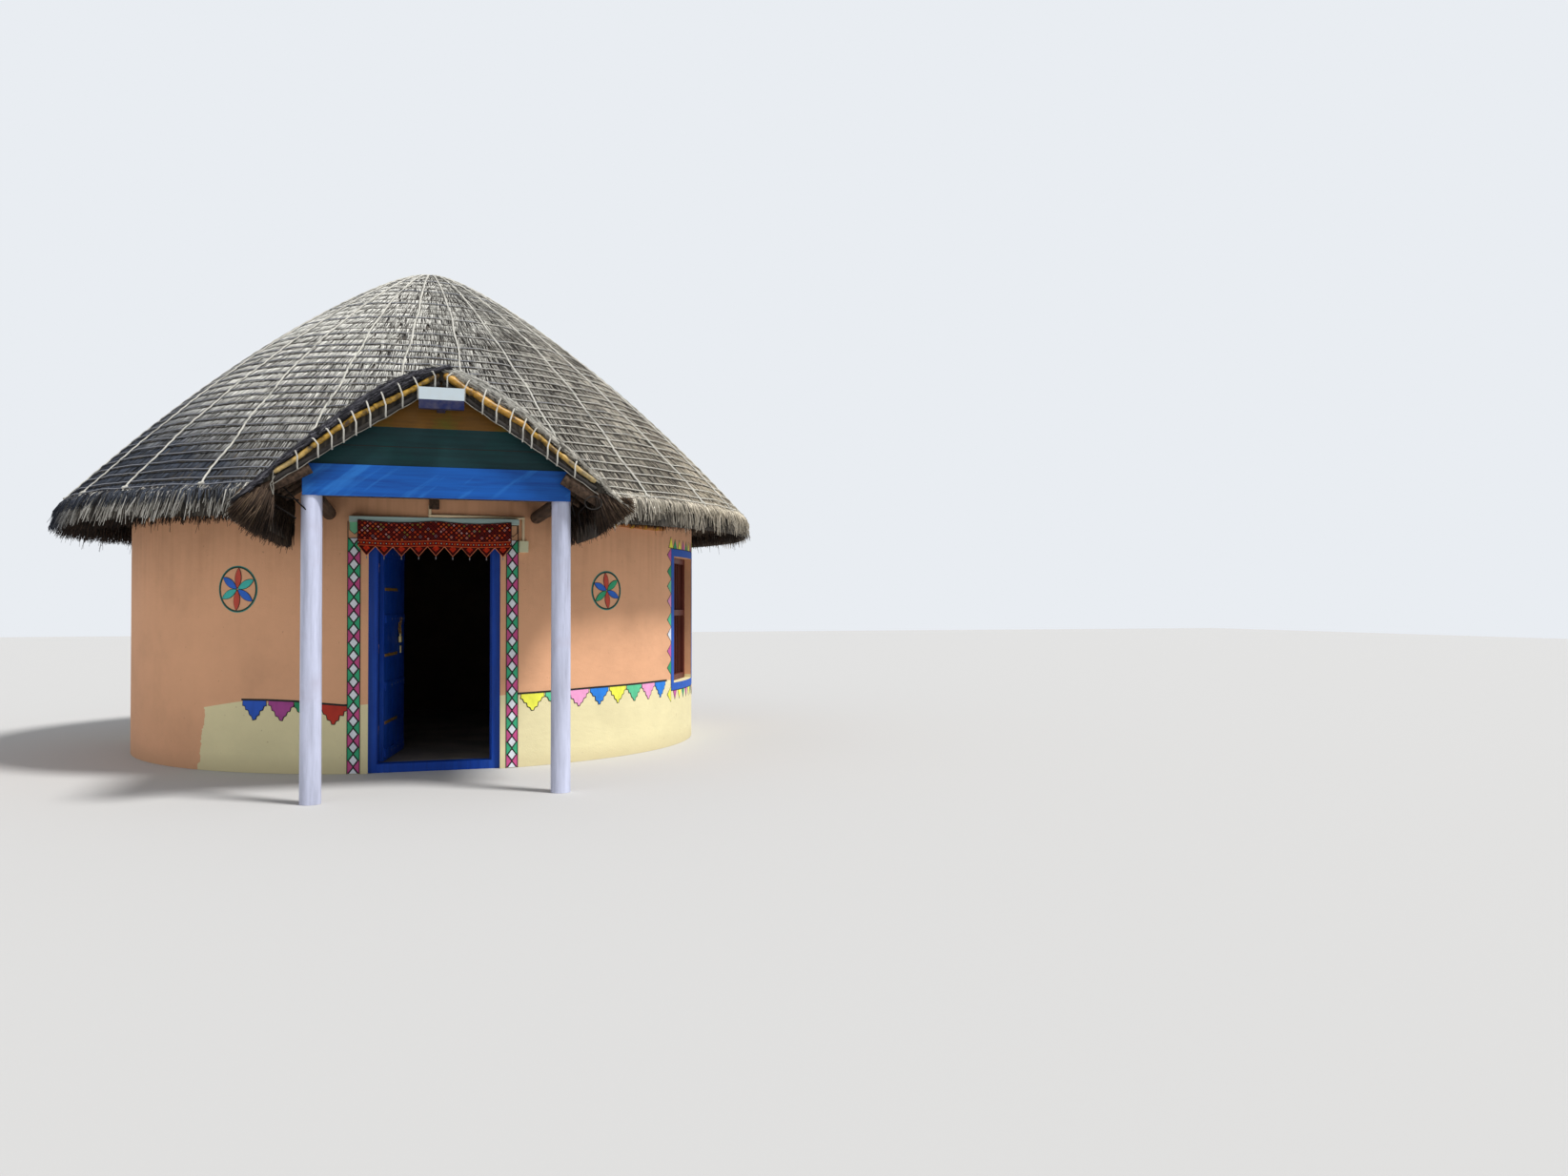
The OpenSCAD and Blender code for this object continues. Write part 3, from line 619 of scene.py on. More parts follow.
def embroidered_cotton():
    """Maroon cotton crowded with embroidered diamonds; under them a band of small diamonds between
    orange lines, and a bright motif in each pennant. The cloth's UV map is in metres: across from
    its middle, and down from its top."""
    look = Surface("embroidered_cotton", 0.85, 0.15)
    flat = look.add("TexCoord").outputs["UV"]
    across, down, _ = look.add("SeparateXYZ", {0: flat}).outputs
    turned = look.add("Mapping", {"Vector": flat, "Rotation": (0, 0, math.radians(45))}).outputs[0]
    threads = [(0.0, "#C2481E"), (0.25, "#3A1414"), (0.42, "#C8682A"), (0.56, "#1E1418"),
               (0.68, "#B89C98"), (0.76, "#6E7A34"), (0.88, "#C85A40")]

    def lattice(scale, inner, outer, ring):
        cells = look.add("TexVoronoi", {"Vector": turned, "Scale": scale, "Randomness": 0.0},
                         distance="CHEBYCHEV", voronoi_dimensions="2D").outputs
        hue = look.add("SeparateColor", {0: cells["Color"]}).outputs[0]
        motif = look.ramp(hue, *threads, how="CONSTANT")
        around = look.mixed(look.below(cells["Distance"], outer), "#1A0608", ring)
        return look.mixed(look.below(cells["Distance"], inner), around, motif), cells["Distance"]

    def away(height):
        """Distance up or down from a line across the cloth."""
        return look.maths("ABSOLUTE", look.minus(down, height))

    shades, raised = lattice(33.0, 0.24, 0.37, "#8C1E16")
    large, spread = lattice(11.0, 0.075, 0.115, "#A07880")
    shades = look.mixed(look.below(spread, 0.115), shades, large)
    # The band: one row of diamonds, with an orange one between each two
    band_top, band_foot, half_step = 0.167, 0.213, 0.0225
    step = look.maths("PINGPONG", across, half_step)
    height = away((band_top + band_foot) / 2)
    diamond = look.plus(step, height)
    row = look.mixed(look.below(diamond, 0.014), "cloth", "#1C0A0A")
    row = look.mixed(look.below(diamond, 0.0055), row, "#E0D2C0")
    between = look.plus(look.minus(half_step, step), height)
    row = look.mixed(look.below(between, 0.008), row, "#D8641E")
    shades = look.mixed(look.above(down, band_top), shades, row)
    # The pennants: a bright diamond in each
    tooth = look.maths("PINGPONG", across, VALANCE_W / VALANCE_TEETH / 2)
    motif = look.plus(tooth, away(0.235))
    bright = look.ramp(look.cloudy(180, detail=1), (0.45, "#D83A18"), (0.6, "#8A1812"))
    flag = look.mixed(look.below(motif, 0.03), "#4A0C0C", bright)
    shades = look.mixed(look.above(down, band_foot), shades, flag)
    for line in (band_top, band_foot):
        shades = look.mixed(look.below(away(line), 0.003), shades, "#CC6034")
    return look.finished(shades, look.times_plus(raised, -0.8, look.cloudy(420, detail=1)), 0.5, 0.002)


# Each finish's maker and what it is given; a colour is a hex code or one of HutColours
FINISHES = {
    "plaster": (limewashed_mud_plaster,),
    "straw": (straw, "weathered_straw", "straw_light", "straw_mid", "straw_dark"),
    "fringe_straw": (straw, "fringe_straw", "#ECE8DE", "#ACA79D", "#282421", 0.7, 0.15),
    # The left of the porch's front edge, painted dark and grey-blue as painted shade
    "eave_straw": (straw, "sheared_straw", "#8E8C90", "#4B4A50", "#161519", 0.0),
    # Brown straw, partly painted dark as painted shade, for the undersides and the porch's side eaves
    "brown_straw": (straw, "sheltered_straw", "#7A6650", "#46372C", "#15100E", 0.0),
    "shadow_straw": (straw, "shaded_straw", "#4A4641", "#2A2725", "#131212", 0.0),
    "packed": (packed_straw,),
    "rope": (cotton_rope, "cotton_rope", "rope"),
    "cord": (cotton_rope, "grey_cord", "#8F8A80"),
    "lashing": (cotton_rope, "yellow_lashing", "#C99A2E"),
    "twine": (painted_sidelight_twine, "pale_twine", "#D2CEC2", "#83858C"),
    "timber": (round_timber,),
    "bamboo": (split_bamboo,),
    "eave_pole": (brushed_paint, "peeled_pole", "#A0622C", ACROSS, "#C89858", 0.4, 0.7),
    "rod": (brushed_paint, "grey_stick", "#2E2B29", ACROSS, "#57524A", 0.3, 0.8),
    "fascia": (paint_with_light_streaks, "blue_board_paint", "fascia", "#2E78C4", "#0E3C86"),
    "green": (brushed_paint, "green_board_paint", "green", ACROSS, "#1C4C48", 0.2),
    "ochre": (brushed_paint, "ochre_board_paint", "ochre", ACROSS, "#56601C", 0.5),
    "rail": (brushed_paint, "pale_rail_paint", "#A4BDB8", ACROSS, "#C8D4CC", 0.3),
    "door": (brushed_paint, "blue_door_paint", "door", UPRIGHT, "#3A66C0", 0.16, 0.38),
    "post": (brushed_paint, "white_post_paint", "post", UPRIGHT, "#B4AEBE", 0.35, 0.4, 14),
    "window": (brushed_paint, "maroon_wood_paint", "#5E2A20", UPRIGHT, "#8A5040", 0.2, 0.5),
    "brass": (dull_brass, "tarnished_brass", 0.55, "#8A6420", "#C4923A", "#DCB45C"),
    "bright_brass": (dull_brass, "rubbed_brass", 0.4, "#C8AC68", "#E8D498", "#F6EAC4"),
    "cloth": (embroidered_cotton,),
    "braid": (poster_paint, "orange_braid", "#D87850"),
    "maroon": (poster_paint, "maroon_binding", "#3A0C10"),
    "conduit": (moulded_plastic, "painted_conduit", "#EFD8B2", 0.5),
    "switch": (moulded_plastic, "cream_switch_plastic", "#DAD9B4", 0.4),
    "lamp_case": (moulded_plastic, "navy_lamp_case", "#111C48", 0.4),
    "diffuser": (moulded_plastic, "milky_diffuser", "#C2CED4", 0.25),
    "cement": (trowelled_cement,),
}

# The poster paints
PAINTS = {
    "black": "#16140F", "white": "#E2E6EC", "strip_green": "#36AC7A", "strip_pink": "#C84E88",
    # The left run of pennants: darker, partly paints of their own and partly painted shade
    "tag_green": "#7FCB9C", "left_blue": "#2456BE", "left_pink": "#A8468F", "left_green": "#1E8F5C",
    "left_red": "#B8301E", "yellow": "#EFEE4E", "mint": "#5CC794", "pink": "#EE9FCB",
    "blue": "#1F7EDC", "petal_red": "#C24A38", "petal_blue": "#2A66C8", "petal_teal": "#3FB4A8",
    "petal_green": "#30A070", "bead": "#9A9294", "ring": "#173A2C", "halo": "#3E8F84",
    "border_blue": "#1C56B4", "triangle_pink": "#C65A9E", "triangle_green": "#2F9A66",
}
MATERIALS = {}


def finish(name):
    """The named finish, made on first use."""
    if name not in MATERIALS:
        maker, *given = FINISHES.get(name) or (poster_paint, name, PAINTS[name])
        MATERIALS[name] = maker(*given)
    return MATERIALS[name]


def from_slope(points, side):
    """The same points on the left side (-1) or the right (1) of the porch."""
    return [(side * x, y, z) for x, y, z in points]


# The curves of the roofs

R_STEPS = np.linspace(0, DOME_R, 1401)
Z_STEPS = DOME_TOP - DOME_PITCH * (
    np.sqrt(R_STEPS ** 2 + DOME_CROWN ** 2) - DOME_CROWN + DOME_BOW * R_STEPS ** 2 / DOME_R)
S_STEPS = np.concatenate([[0], np.cumsum(np.hypot(np.diff(R_STEPS), np.diff(Z_STEPS)))])
DOME_LENGTH = S_STEPS[-1]
DOME_FOOT = Z_STEPS[-1]


def dome_at(s, turn, proud=0.0):
    """Places on the dome at distances down the slope and azimuths, with the outward and
    downward directions there."""
    s, turn = np.broadcast_arrays(np.asarray(s, float), np.asarray(turn, float))
    r = np.interp(s, S_STEPS, R_STEPS)
    z = np.interp(s, S_STEPS, Z_STEPS)
    slope = DOME_PITCH * (r / np.sqrt(r ** 2 + DOME_CROWN ** 2) + 2 * DOME_BOW * r / DOME_R)
    tilt = np.arctan(slope)
    sin_t, cos_t = np.sin(turn), np.cos(turn)
    out = np.stack([np.sin(tilt) * sin_t, -np.sin(tilt) * cos_t, np.cos(tilt)], -1)
    down = np.stack([np.cos(tilt) * sin_t, -np.cos(tilt) * cos_t, -np.sin(tilt)], -1)
    place = np.stack([r * sin_t, -r * cos_t, z], -1)
    # Past the eave the straight slope goes on
    past = np.maximum(s - DOME_LENGTH, 0)[..., None]
    return place + down * past + out * np.asarray(proud, float)[..., None], out, down


def dome_height(x, y):
    return np.interp(np.hypot(x, y), R_STEPS, Z_STEPS)


def porch_height(x):
    return PORCH_TOP - PORCH_PITCH * (np.sqrt(x ** 2 + PORCH_ROUND ** 2) - PORCH_ROUND)


def gable_height(x):
    return GABLE_TOP - GABLE_RISE / GABLE_HALF * np.abs(x)


X_STEPS = np.linspace(0, PORCH_X, 281)
L_STEPS = np.concatenate([[0], np.cumsum(np.hypot(np.diff(X_STEPS), np.diff(porch_height(X_STEPS))))])
PORCH_LENGTH = L_STEPS[-1]


def porch_at(run, side, y, proud=0.0):
    """Places on the porch thatch at distances down its slope, on the side -1 or 1."""
    run, side, y = np.broadcast_arrays(*(np.asarray(v, float) for v in (run, side, y)))
    x = np.interp(run, L_STEPS, X_STEPS)
    tilt = np.arctan(PORCH_PITCH * x / np.sqrt(x ** 2 + PORCH_ROUND ** 2))
    flat = np.zeros_like(x)
    out = np.stack([side * np.sin(tilt), flat, np.cos(tilt)], -1)
    down = np.stack([side * np.cos(tilt), flat, -np.sin(tilt)], -1)
    place = np.stack([side * x, y, porch_height(x)], -1)
    past = np.maximum(run - PORCH_LENGTH, 0)[..., None]
    return place + down * past + out * np.asarray(proud, float)[..., None], out, down


def in_porch(place, margin=0.0):
    """Whether places on the dome lie under the porch thatch or in its open space."""
    x, y, z = place[..., 0], place[..., 1], place[..., 2]
    across = np.abs(x) < PORCH_X - 0.1 - margin
    between = (z < porch_height(x) - margin) & (z > gable_height(x) - 0.7)
    return (y < PORCH_BACK_Y) & across & between


def courses(reach):
    """Distances down a slope at which its courses end, the same as in the frame."""
    count = round(reach / sizes().course)
    return reach * np.arange(1, count + 1) / count


def tufted(rng, around, spacing):
    """Straws along a course in tufts: each one's place as a share of the way, its tuft's own four
    random values, and whether it lies in the gap beside its tuft."""
    count = max(40, int(around / spacing))
    place = (np.arange(count) + rng.uniform(-0.45, 0.45, count)) / count
    cuts = np.cumsum(rng.uniform(0.25, 1.75, max(8, int(around / sizes().tuft))))
    cuts = cuts / cuts[-1]
    which = np.searchsorted(cuts, place) % len(cuts)
    own = rng.normal(0, 1, (len(cuts), 4))[which]
    gap = (place - cuts[which - 1]) % 1 * around < 0.005
    return place, own, gap


def ripple(a, b, seed, reach=1.0):
    """Smooth unevenness between about -1 and 1; a may be an azimuth."""
    rng = np.random.default_rng(seed)
    total = 0
    for _ in range(7):
        turns, climb, shift = rng.integers(1, 14), rng.uniform(0.5, 5), rng.uniform(0, 6.28)
        total = total + np.sin(turns * reach * a + climb * b + shift)
    return total / 3.5


def straw_shape(bent):
    """One bundle of straw, modelled once: a three-sided taper, a unit long, with a ring of
    points at its middle if it is to be bent there."""
    clear_selection()
    bpy.ops.mesh.primitive_cone_add(vertices=3, radius1=0.58, radius2=0.2, depth=1, location=(0, 0, 0.5))
    piece = bpy.context.object
    bpy.ops.object.transform_apply(location=True, rotation=True, scale=True)
    if bent:
        bpy.ops.object.mode_set(mode="EDIT")
        bpy.ops.mesh.select_all(action="SELECT")
        bpy.ops.mesh.bisect(plane_co=(0, 0, 0.5), plane_no=(0, 0, 1))
        bpy.ops.object.mode_set(mode="OBJECT")
    corners = np.array([v.co for v in piece.data.vertices])
    faces = [list(p.vertices) for p in piece.data.polygons]
    bpy.data.objects.remove(piece)
    return corners, faces


def merged(rows):
    """Rows of arrays, put end to end column by column."""
    return [np.concatenate(column) for column in zip(*rows)]


def round_place(radius, turn, z):
    """Places at a distance from the hut's axis, an azimuth from the door and a height."""
    x = radius * np.sin(turn)
    return np.stack([x, -radius * np.cos(turn), z + 0 * x], -1)


def under_porch(place):
    """Whether places at the dome's eave lie where the porch's thatch takes over."""
    return (place[:, 1] < PORCH_BACK_Y) & (np.abs(place[:, 0]) < FRINGE_GAP)


def along_course(rng, tip, own, gap, wave, first):
    """How far down the slope a course's bundles begin and end."""
    count = len(own)
    end = tip + 0.008 * own[:, 0] + rng.normal(0, 0.009, count) + wave - 0.012 * gap
    return np.maximum(end - rng.uniform(*BUNDLE, count), first), end


def laid_straw(name, start, end, out, width, thick, tone, look, root=-0.25, middle=None):
    """Copies the bundle of straw from each start to each end, as one mesh. Its root is darker than
    its tip, as painted shade under the course above, and it passes its middle where that is given."""
    corners, faces = straw_shape(middle is not None)
    start, end, out = (np.asarray(v, float).reshape(-1, 3) for v in (start, end, out))
    count = len(start)
    width = np.broadcast_to(width, count)[:, None, None]
    thick = np.broadcast_to(thick, count)[:, None, None]
    along = end - start
    unit = along / np.linalg.norm(along, axis=1)[:, None]
    side = np.cross(unit, out)
    side /= np.linalg.norm(side, axis=1)[:, None]
    up = np.cross(side, unit)
    share = corners[None, :, 2:3]
    points = (start[:, None] + along[:, None] * share + side[:, None] * width * corners[None, :, 0:1]
              + up[:, None] * thick * corners[None, :, 1:2])
    if middle is not None:
        points += (middle - (start + end) / 2)[:, None] * (1 - np.abs(2 * share - 1))
    loops = np.concatenate([np.array(f) for f in faces])
    mesh = bpy.data.meshes.new(name)
    mesh.vertices.add(count * len(corners))
    mesh.vertices.foreach_set("co", points.reshape(-1).astype(np.float32))
    all_loops = (loops[None] + len(corners) * np.arange(count)[:, None]).reshape(-1)
    mesh.loops.add(len(all_loops))
    mesh.loops.foreach_set("vertex_index", all_loops.astype(np.int32))
    all_sizes = np.tile([len(f) for f in faces], count)
    mesh.polygons.add(len(all_sizes))
    mesh.polygons.foreach_set("loop_start", (np.cumsum(all_sizes) - all_sizes).astype(np.int32))
    mesh.polygons.foreach_set("loop_total", all_sizes.astype(np.int32))
    mesh.update(calc_edges=True)
    values = mesh.attributes.new("tone", "FLOAT", "POINT")
    tone, root = (np.broadcast_to(v, count)[:, None] for v in (tone, root))
    tones = tone + root * (1 - corners[None, :, 2])
    values.data.foreach_set("value", tones.reshape(-1).astype(np.float32))
    piece = bpy.data.objects.new(name, mesh)
    bpy.context.scene.collection.objects.link(piece)
    return settle(piece, name, look)


def round_course(level, turn, proud):
    """A line round the dome, in one run, or from one side of the porch to the other."""
    place, _, _ = dome_at(level, turn, proud)
    keep = ~in_porch(place, 0.02)
    if keep.all():
        return np.concatenate([place, place[:1]])
    first = int(np.argmin(keep) + np.argmax(np.roll(keep, -np.argmin(keep))))
    place, keep = np.roll(place, -first, 0), np.roll(keep, -first)
    return place[:int(np.argmin(keep))]


class HUT_OT_stage(bpy.types.Operator):
    """Makes the floor, the soft light and the camera"""
    bl_idname = "hut.stage"
    bl_label = "Stage"

    def execute(self, context):
        clear_selection()
        bpy.ops.mesh.primitive_plane_add(size=90, location=(0, 0, -0.001))
        floor = context.object
        floor.name = "stage_floor"
        floor.data.materials.append(Surface("pale_floor", 0.95).finished("#BFBDBA"))

        world = bpy.data.worlds.new("pale_room")
        context.scene.world = world
        world.use_nodes = True
        tree = world.node_tree
        tree.nodes.clear()
        rays = add(tree, "LightPath").outputs
        through = maths(tree, "MAXIMUM", rays["Is Glossy Ray"], rays["Is Transmission Ray"])
        seen = maths(tree, "MAXIMUM", rays["Is Camera Ray"], through)
        shown = add(tree, "Background", {"Color": "#E9EDF2", "Strength": 1.0})
        soft = add(tree, "Background", {"Color": "#E8EEF6", "Strength": 0.55})
        both = add(tree, "MixShader", {0: seen, 1: soft.outputs[0], 2: shown.outputs[0]})
        add(tree, "OutputWorld", {0: both.outputs[0]})

        lights = (("key_light", 3.5, 12, 57, 50), ("fill_light", 0.22, 50, 30, -45))
        for name, power, angle, lift, turn in lights:
            lamp = bpy.data.lights.new(name, "SUN")
            lamp.energy = power
            lamp.angle = math.radians(angle)
            piece = bpy.data.objects.new(name, lamp)
            context.scene.collection.objects.link(piece)
            up, about = math.radians(lift), math.radians(turn)
            towards = Vector((math.cos(up) * math.sin(about), -math.cos(up) * math.cos(about), math.sin(up)))
            piece.rotation_euler = towards.to_track_quat("Z", "Y").to_euler()
            piece.location = towards * LAMP_DISTANCE

        camera = bpy.data.cameras.new("camera")
        camera.sensor_width = 36
        camera.lens = CAMERA_LENS
        camera.clip_end = 300
        piece = bpy.data.objects.new("camera", camera)
        context.scene.collection.objects.link(piece)
        piece.location = CAMERA_AT
        piece.rotation_euler = (math.radians(CAMERA_TILT), 0, math.radians(CAMERA_TURN))
        context.scene.camera = piece
        context.scene.view_settings.view_transform = "Standard"
        return {"FINISHED"}


# The finish of each of the frame's own pieces; those of the wall get its plaster
FRAME_FINISHES = {
    "cement": "floor_slab",
    "timber": "roof_rafters roof_hub roof_hoops porch_side_logs porch_beam porch_ridge_pole porch_purlins",
    "packed": "roof_thatch porch_thatch",
    "post": "porch_post_left porch_post_right",
    "fascia": "porch_fascia",
    "green": "gable_boards_green",
    "ochre": "gable_board_ochre",
    "bamboo": "verge_bamboo",
    "rod": "verge_rods",
    "door": "door_jamb_left door_jamb_right door_head door_sill door_stops door_leaf door_battens",
    "brass": "door_hinge_pins door_knuckles door_straps",
    "window": "window_frame",
    "rail": "valance_rail",
    "cloth": "valance",
    "conduit": "conduit",
    "switch": "switch_box",
    "lamp_case": "gable_lamp",
    "diffuser": "lamp_diffuser",
}


class HUT_OT_frame_finishes(bpy.types.Operator):
    """Gives the frame's own pieces their finishes"""
    bl_idname = "hut.frame_finishes"
    bl_label = "Frame finishes"

    def execute(self, context):
        looks = {name: "plaster" for name in NODES if name.startswith("wall_")}
        for look, names in FRAME_FINISHES.items():
            looks.update((name, look) for name in names.split())
        for name, look in looks.items():
            materials = NODES[name].data.materials
            materials.clear()
            materials.append(finish(look))
        return {"FINISHED"}


class HUT_OT_dome_straw(bpy.types.Operator):
    """Lays the dome's straw in courses"""
    bl_idname = "hut.dome_straw"
    bl_label = "Dome straw"

    def execute(self, context):
        size = sizes()
        rng = np.random.default_rng(11)
        parts = [[], [], []]
        tips = courses(DOME_LENGTH)
        for k, tip in enumerate(tips):
            radius = max(np.interp(tip, S_STEPS, R_STEPS), 0.1)
            place, own, gap = tufted(rng, 2 * math.pi * radius, size.straw_gap)
            count = len(place)
            turn = (2 * place - 1) * math.pi
            # High up the courses fade into one coat; low down each root is painted darker, as painted shade
            # under the last course
            low_down = min(1, max(0, tip / DOME_LENGTH - 0.45) / 0.35)
            begin, end = along_course(rng, tip, own, gap, 0.008 * ripple(turn, k * 1.7, 3), 0.01)
            lean = (0.012 * own[:, 1] + rng.normal(0, 0.006, count)) / radius
            a, _, _ = dome_at(begin, turn, 0.009 - 0.006 * low_down)
            proud = 0.017 + 0.002 * np.abs(own[:, 2]) + 0.004 * rng.random(count) ** 2
            b, out, _ = dome_at(end, turn + lean, proud)
            keep = ~in_porch((a + b) / 2, 0.06)
            tone = 0.34 + 0.23 * low_down + 0.05 * own[:, 3] + rng.normal(0, 0.2, count)
            # Bundles in the gap beside a tuft are painted darker, as painted shade between tufts
            tone = tone + 0.07 * ripple(turn, k * 0.35, 8) - 0.08 * gap
            width = size.straw_width * rng.uniform(0.7, 1.35, count)
            root = np.full(count, -0.05 - 0.2 * low_down)
            part = (k >= len(tips) * CROWN_END) + (k >= len(tips) * MIDDLE_END)
            parts[part].append([v[keep] for v in (a, b, out, width, tone, root)])
        # A rough tuft closes the crown
        count = 160
        turn = rng.uniform(-math.pi, math.pi, count)
        reach = rng.uniform(0.06, 0.17, count)
        a = round_place(0.02, turn, DOME_TOP + 0.012 + 0.012 * rng.random(count))
        b, out, _ = dome_at(reach, turn + rng.normal(0, 0.2, count), 0.012 + 0.02 * rng.random(count))
        width, root = np.full(count, 0.012), np.full(count, -0.2)
        parts[0].append([a, b, out, width, rng.normal(0.5, 0.2, count), root])
        for name, group in zip(("thatch_crown", "thatch_middle", "thatch_skirt"), parts):
            a, b, out, width, tone, root = merged(group)
            laid_straw(name, a, b, out, width, 0.005, tone, "straw", root=root)
        return {"FINISHED"}


class HUT_OT_dome_fringe(bpy.types.Operator):
    """Hangs the ragged straw at the dome's eave"""
    bl_idname = "hut.dome_fringe"
    bl_label = "Dome fringe"

    def execute(self, context):
        size = sizes()
        rng = np.random.default_rng(12)
        around = 2 * math.pi * DOME_R
        rows = []
        for layer, spacing in enumerate((0.019, 0.022, 0.026)):
            place, own, gap = tufted(rng, around, spacing)
            count = len(place)
            turn = (2 * place - 1) * math.pi
            left = -np.sin(turn)
            lean = (0.045 * own[:, 1] + rng.normal(0, 0.014, count) - 0.015) / DOME_R
            begin = DOME_LENGTH - rng.uniform(0.0, 0.07, count)
            a, out, _ = dome_at(begin, turn, 0.013 + 0.007 * rng.random(count))
            over, _, _ = dome_at(DOME_LENGTH + rng.uniform(0, 0.03, count), turn + lean * 0.35,
                                 0.010 + 0.014 * rng.random(count))
            low = size.fringe * (0.9 - 0.1 * layer + 0.14 * own[:, 0] + rng.normal(0, 0.08, count)
                                 + 0.1 * ripple(turn, 0, 21, 3) + 0.2 * np.clip(left, 0, 1))
            reach = DOME_R + 0.06 + 0.03 * left + 0.018 * own[:, 2] + rng.normal(0, 0.009, count)
            b = round_place(reach, turn + lean, DOME_FOOT - np.clip(low, 0.07, 0.27))
            keep = ~under_porch(over) & ~(gap & (rng.random(count) < 0.8))
            tone = 0.55 + 0.22 * np.clip(left, 0, 1) + 0.15 * own[:, 3] + rng.normal(0, 0.25, count)
            # On the left the roots are painted darker still, as painted shade
            root = -0.25 - 0.4 * np.clip(left * 1.6, 0, 1)
            rows.append([v[keep] for v in (a, b, out, over, tone, root)])
        a, b, out, over, tone, root = merged(rows)
        width = 0.022 * rng.uniform(0.5, 1.3, len(a))
        laid_straw("thatch_fringe", a, b, out, width, 0.009, tone, "fringe_straw", root=root, middle=over)

        # One more course turns over the edge and covers the fringe's upper half
        place, own, gap = tufted(rng, around, 0.0105)
        count = len(place)
        turn = (2 * place - 1) * math.pi
        left = np.clip(-np.sin(turn), 0, 1)
        lean = (0.014 * own[:, 1] + rng.normal(0, 0.007, count)) / DOME_R
        a, out, _ = dome_at(DOME_LENGTH - rng.uniform(0.06, 0.12, count), turn, 0.008)
        over, _, _ = dome_at(DOME_LENGTH + 0.012, turn, 0.022 + 0.005 * rng.random(count))
        reach = DOME_R + 0.062 + 0.02 * left + 0.004 * own[:, 2]
        low = DOME_FOOT - 0.085 - 0.01 * own[:, 0] - rng.normal(0, 0.012, count) - 0.015 * left
        b = round_place(reach, turn + lean, low)
        keep = ~under_porch(over) & ~(gap & (rng.random(count) < 0.5))
        # Painted darker on the left, as painted shade
        tone = 0.58 + 0.06 * own[:, 3] + rng.normal(0, 0.22, count) - 0.12 * left
        width = 0.014 * rng.uniform(0.7, 1.3, count)
        a, b, out, over, width, tone = (v[keep] for v in (a, b, out, over, width, tone))
        laid_straw("thatch_edge", a, b, out, width, 0.007, tone, "straw", root=-0.2, middle=over)

        # Behind it hang dark brown straws, painted dark as painted shade under the eave, and a few long
        # loose ones
        count = 6000
        turn = rng.uniform(-math.pi, math.pi, count)
        left = -np.sin(turn)
        loose = rng.random(count) < 0.04
        inward = rng.random(count)
        r = DOME_R - 0.02 - 0.2 * inward
        top = DOME_FOOT - 0.06 - 0.06 * rng.random(count)
        low = DOME_FOOT - size.fringe + 0.005 - 0.06 * np.clip(left, 0, 1) - 0.035 * rng.random(count) ** 2
        low = np.where(loose, low - rng.uniform(0.02, 0.1, count), low)
        lean = rng.normal(0, 0.025, count) / DOME_R
        a = round_place(r, turn, top)
        tip = r + (1 - inward) * (0.05 + 0.04 * np.clip(left, 0, 1)) + rng.uniform(-0.02, 0.01, count)
        b = round_place(tip, turn + lean, low)
        out = round_place(1.0, turn, 0.0)
        width = np.where(loose, 0.006, 0.014 * rng.uniform(0.6, 1.2, count))
        tone = 0.14 + rng.normal(0, 0.12, count)
        a, b, out, width, tone = (v[~under_porch(a)] for v in (a, b, out, width, tone))
        laid_straw("eave_underside", a, b, out, width, 0.007, tone, "brown_straw", root=0.0)
        return {"FINISHED"}


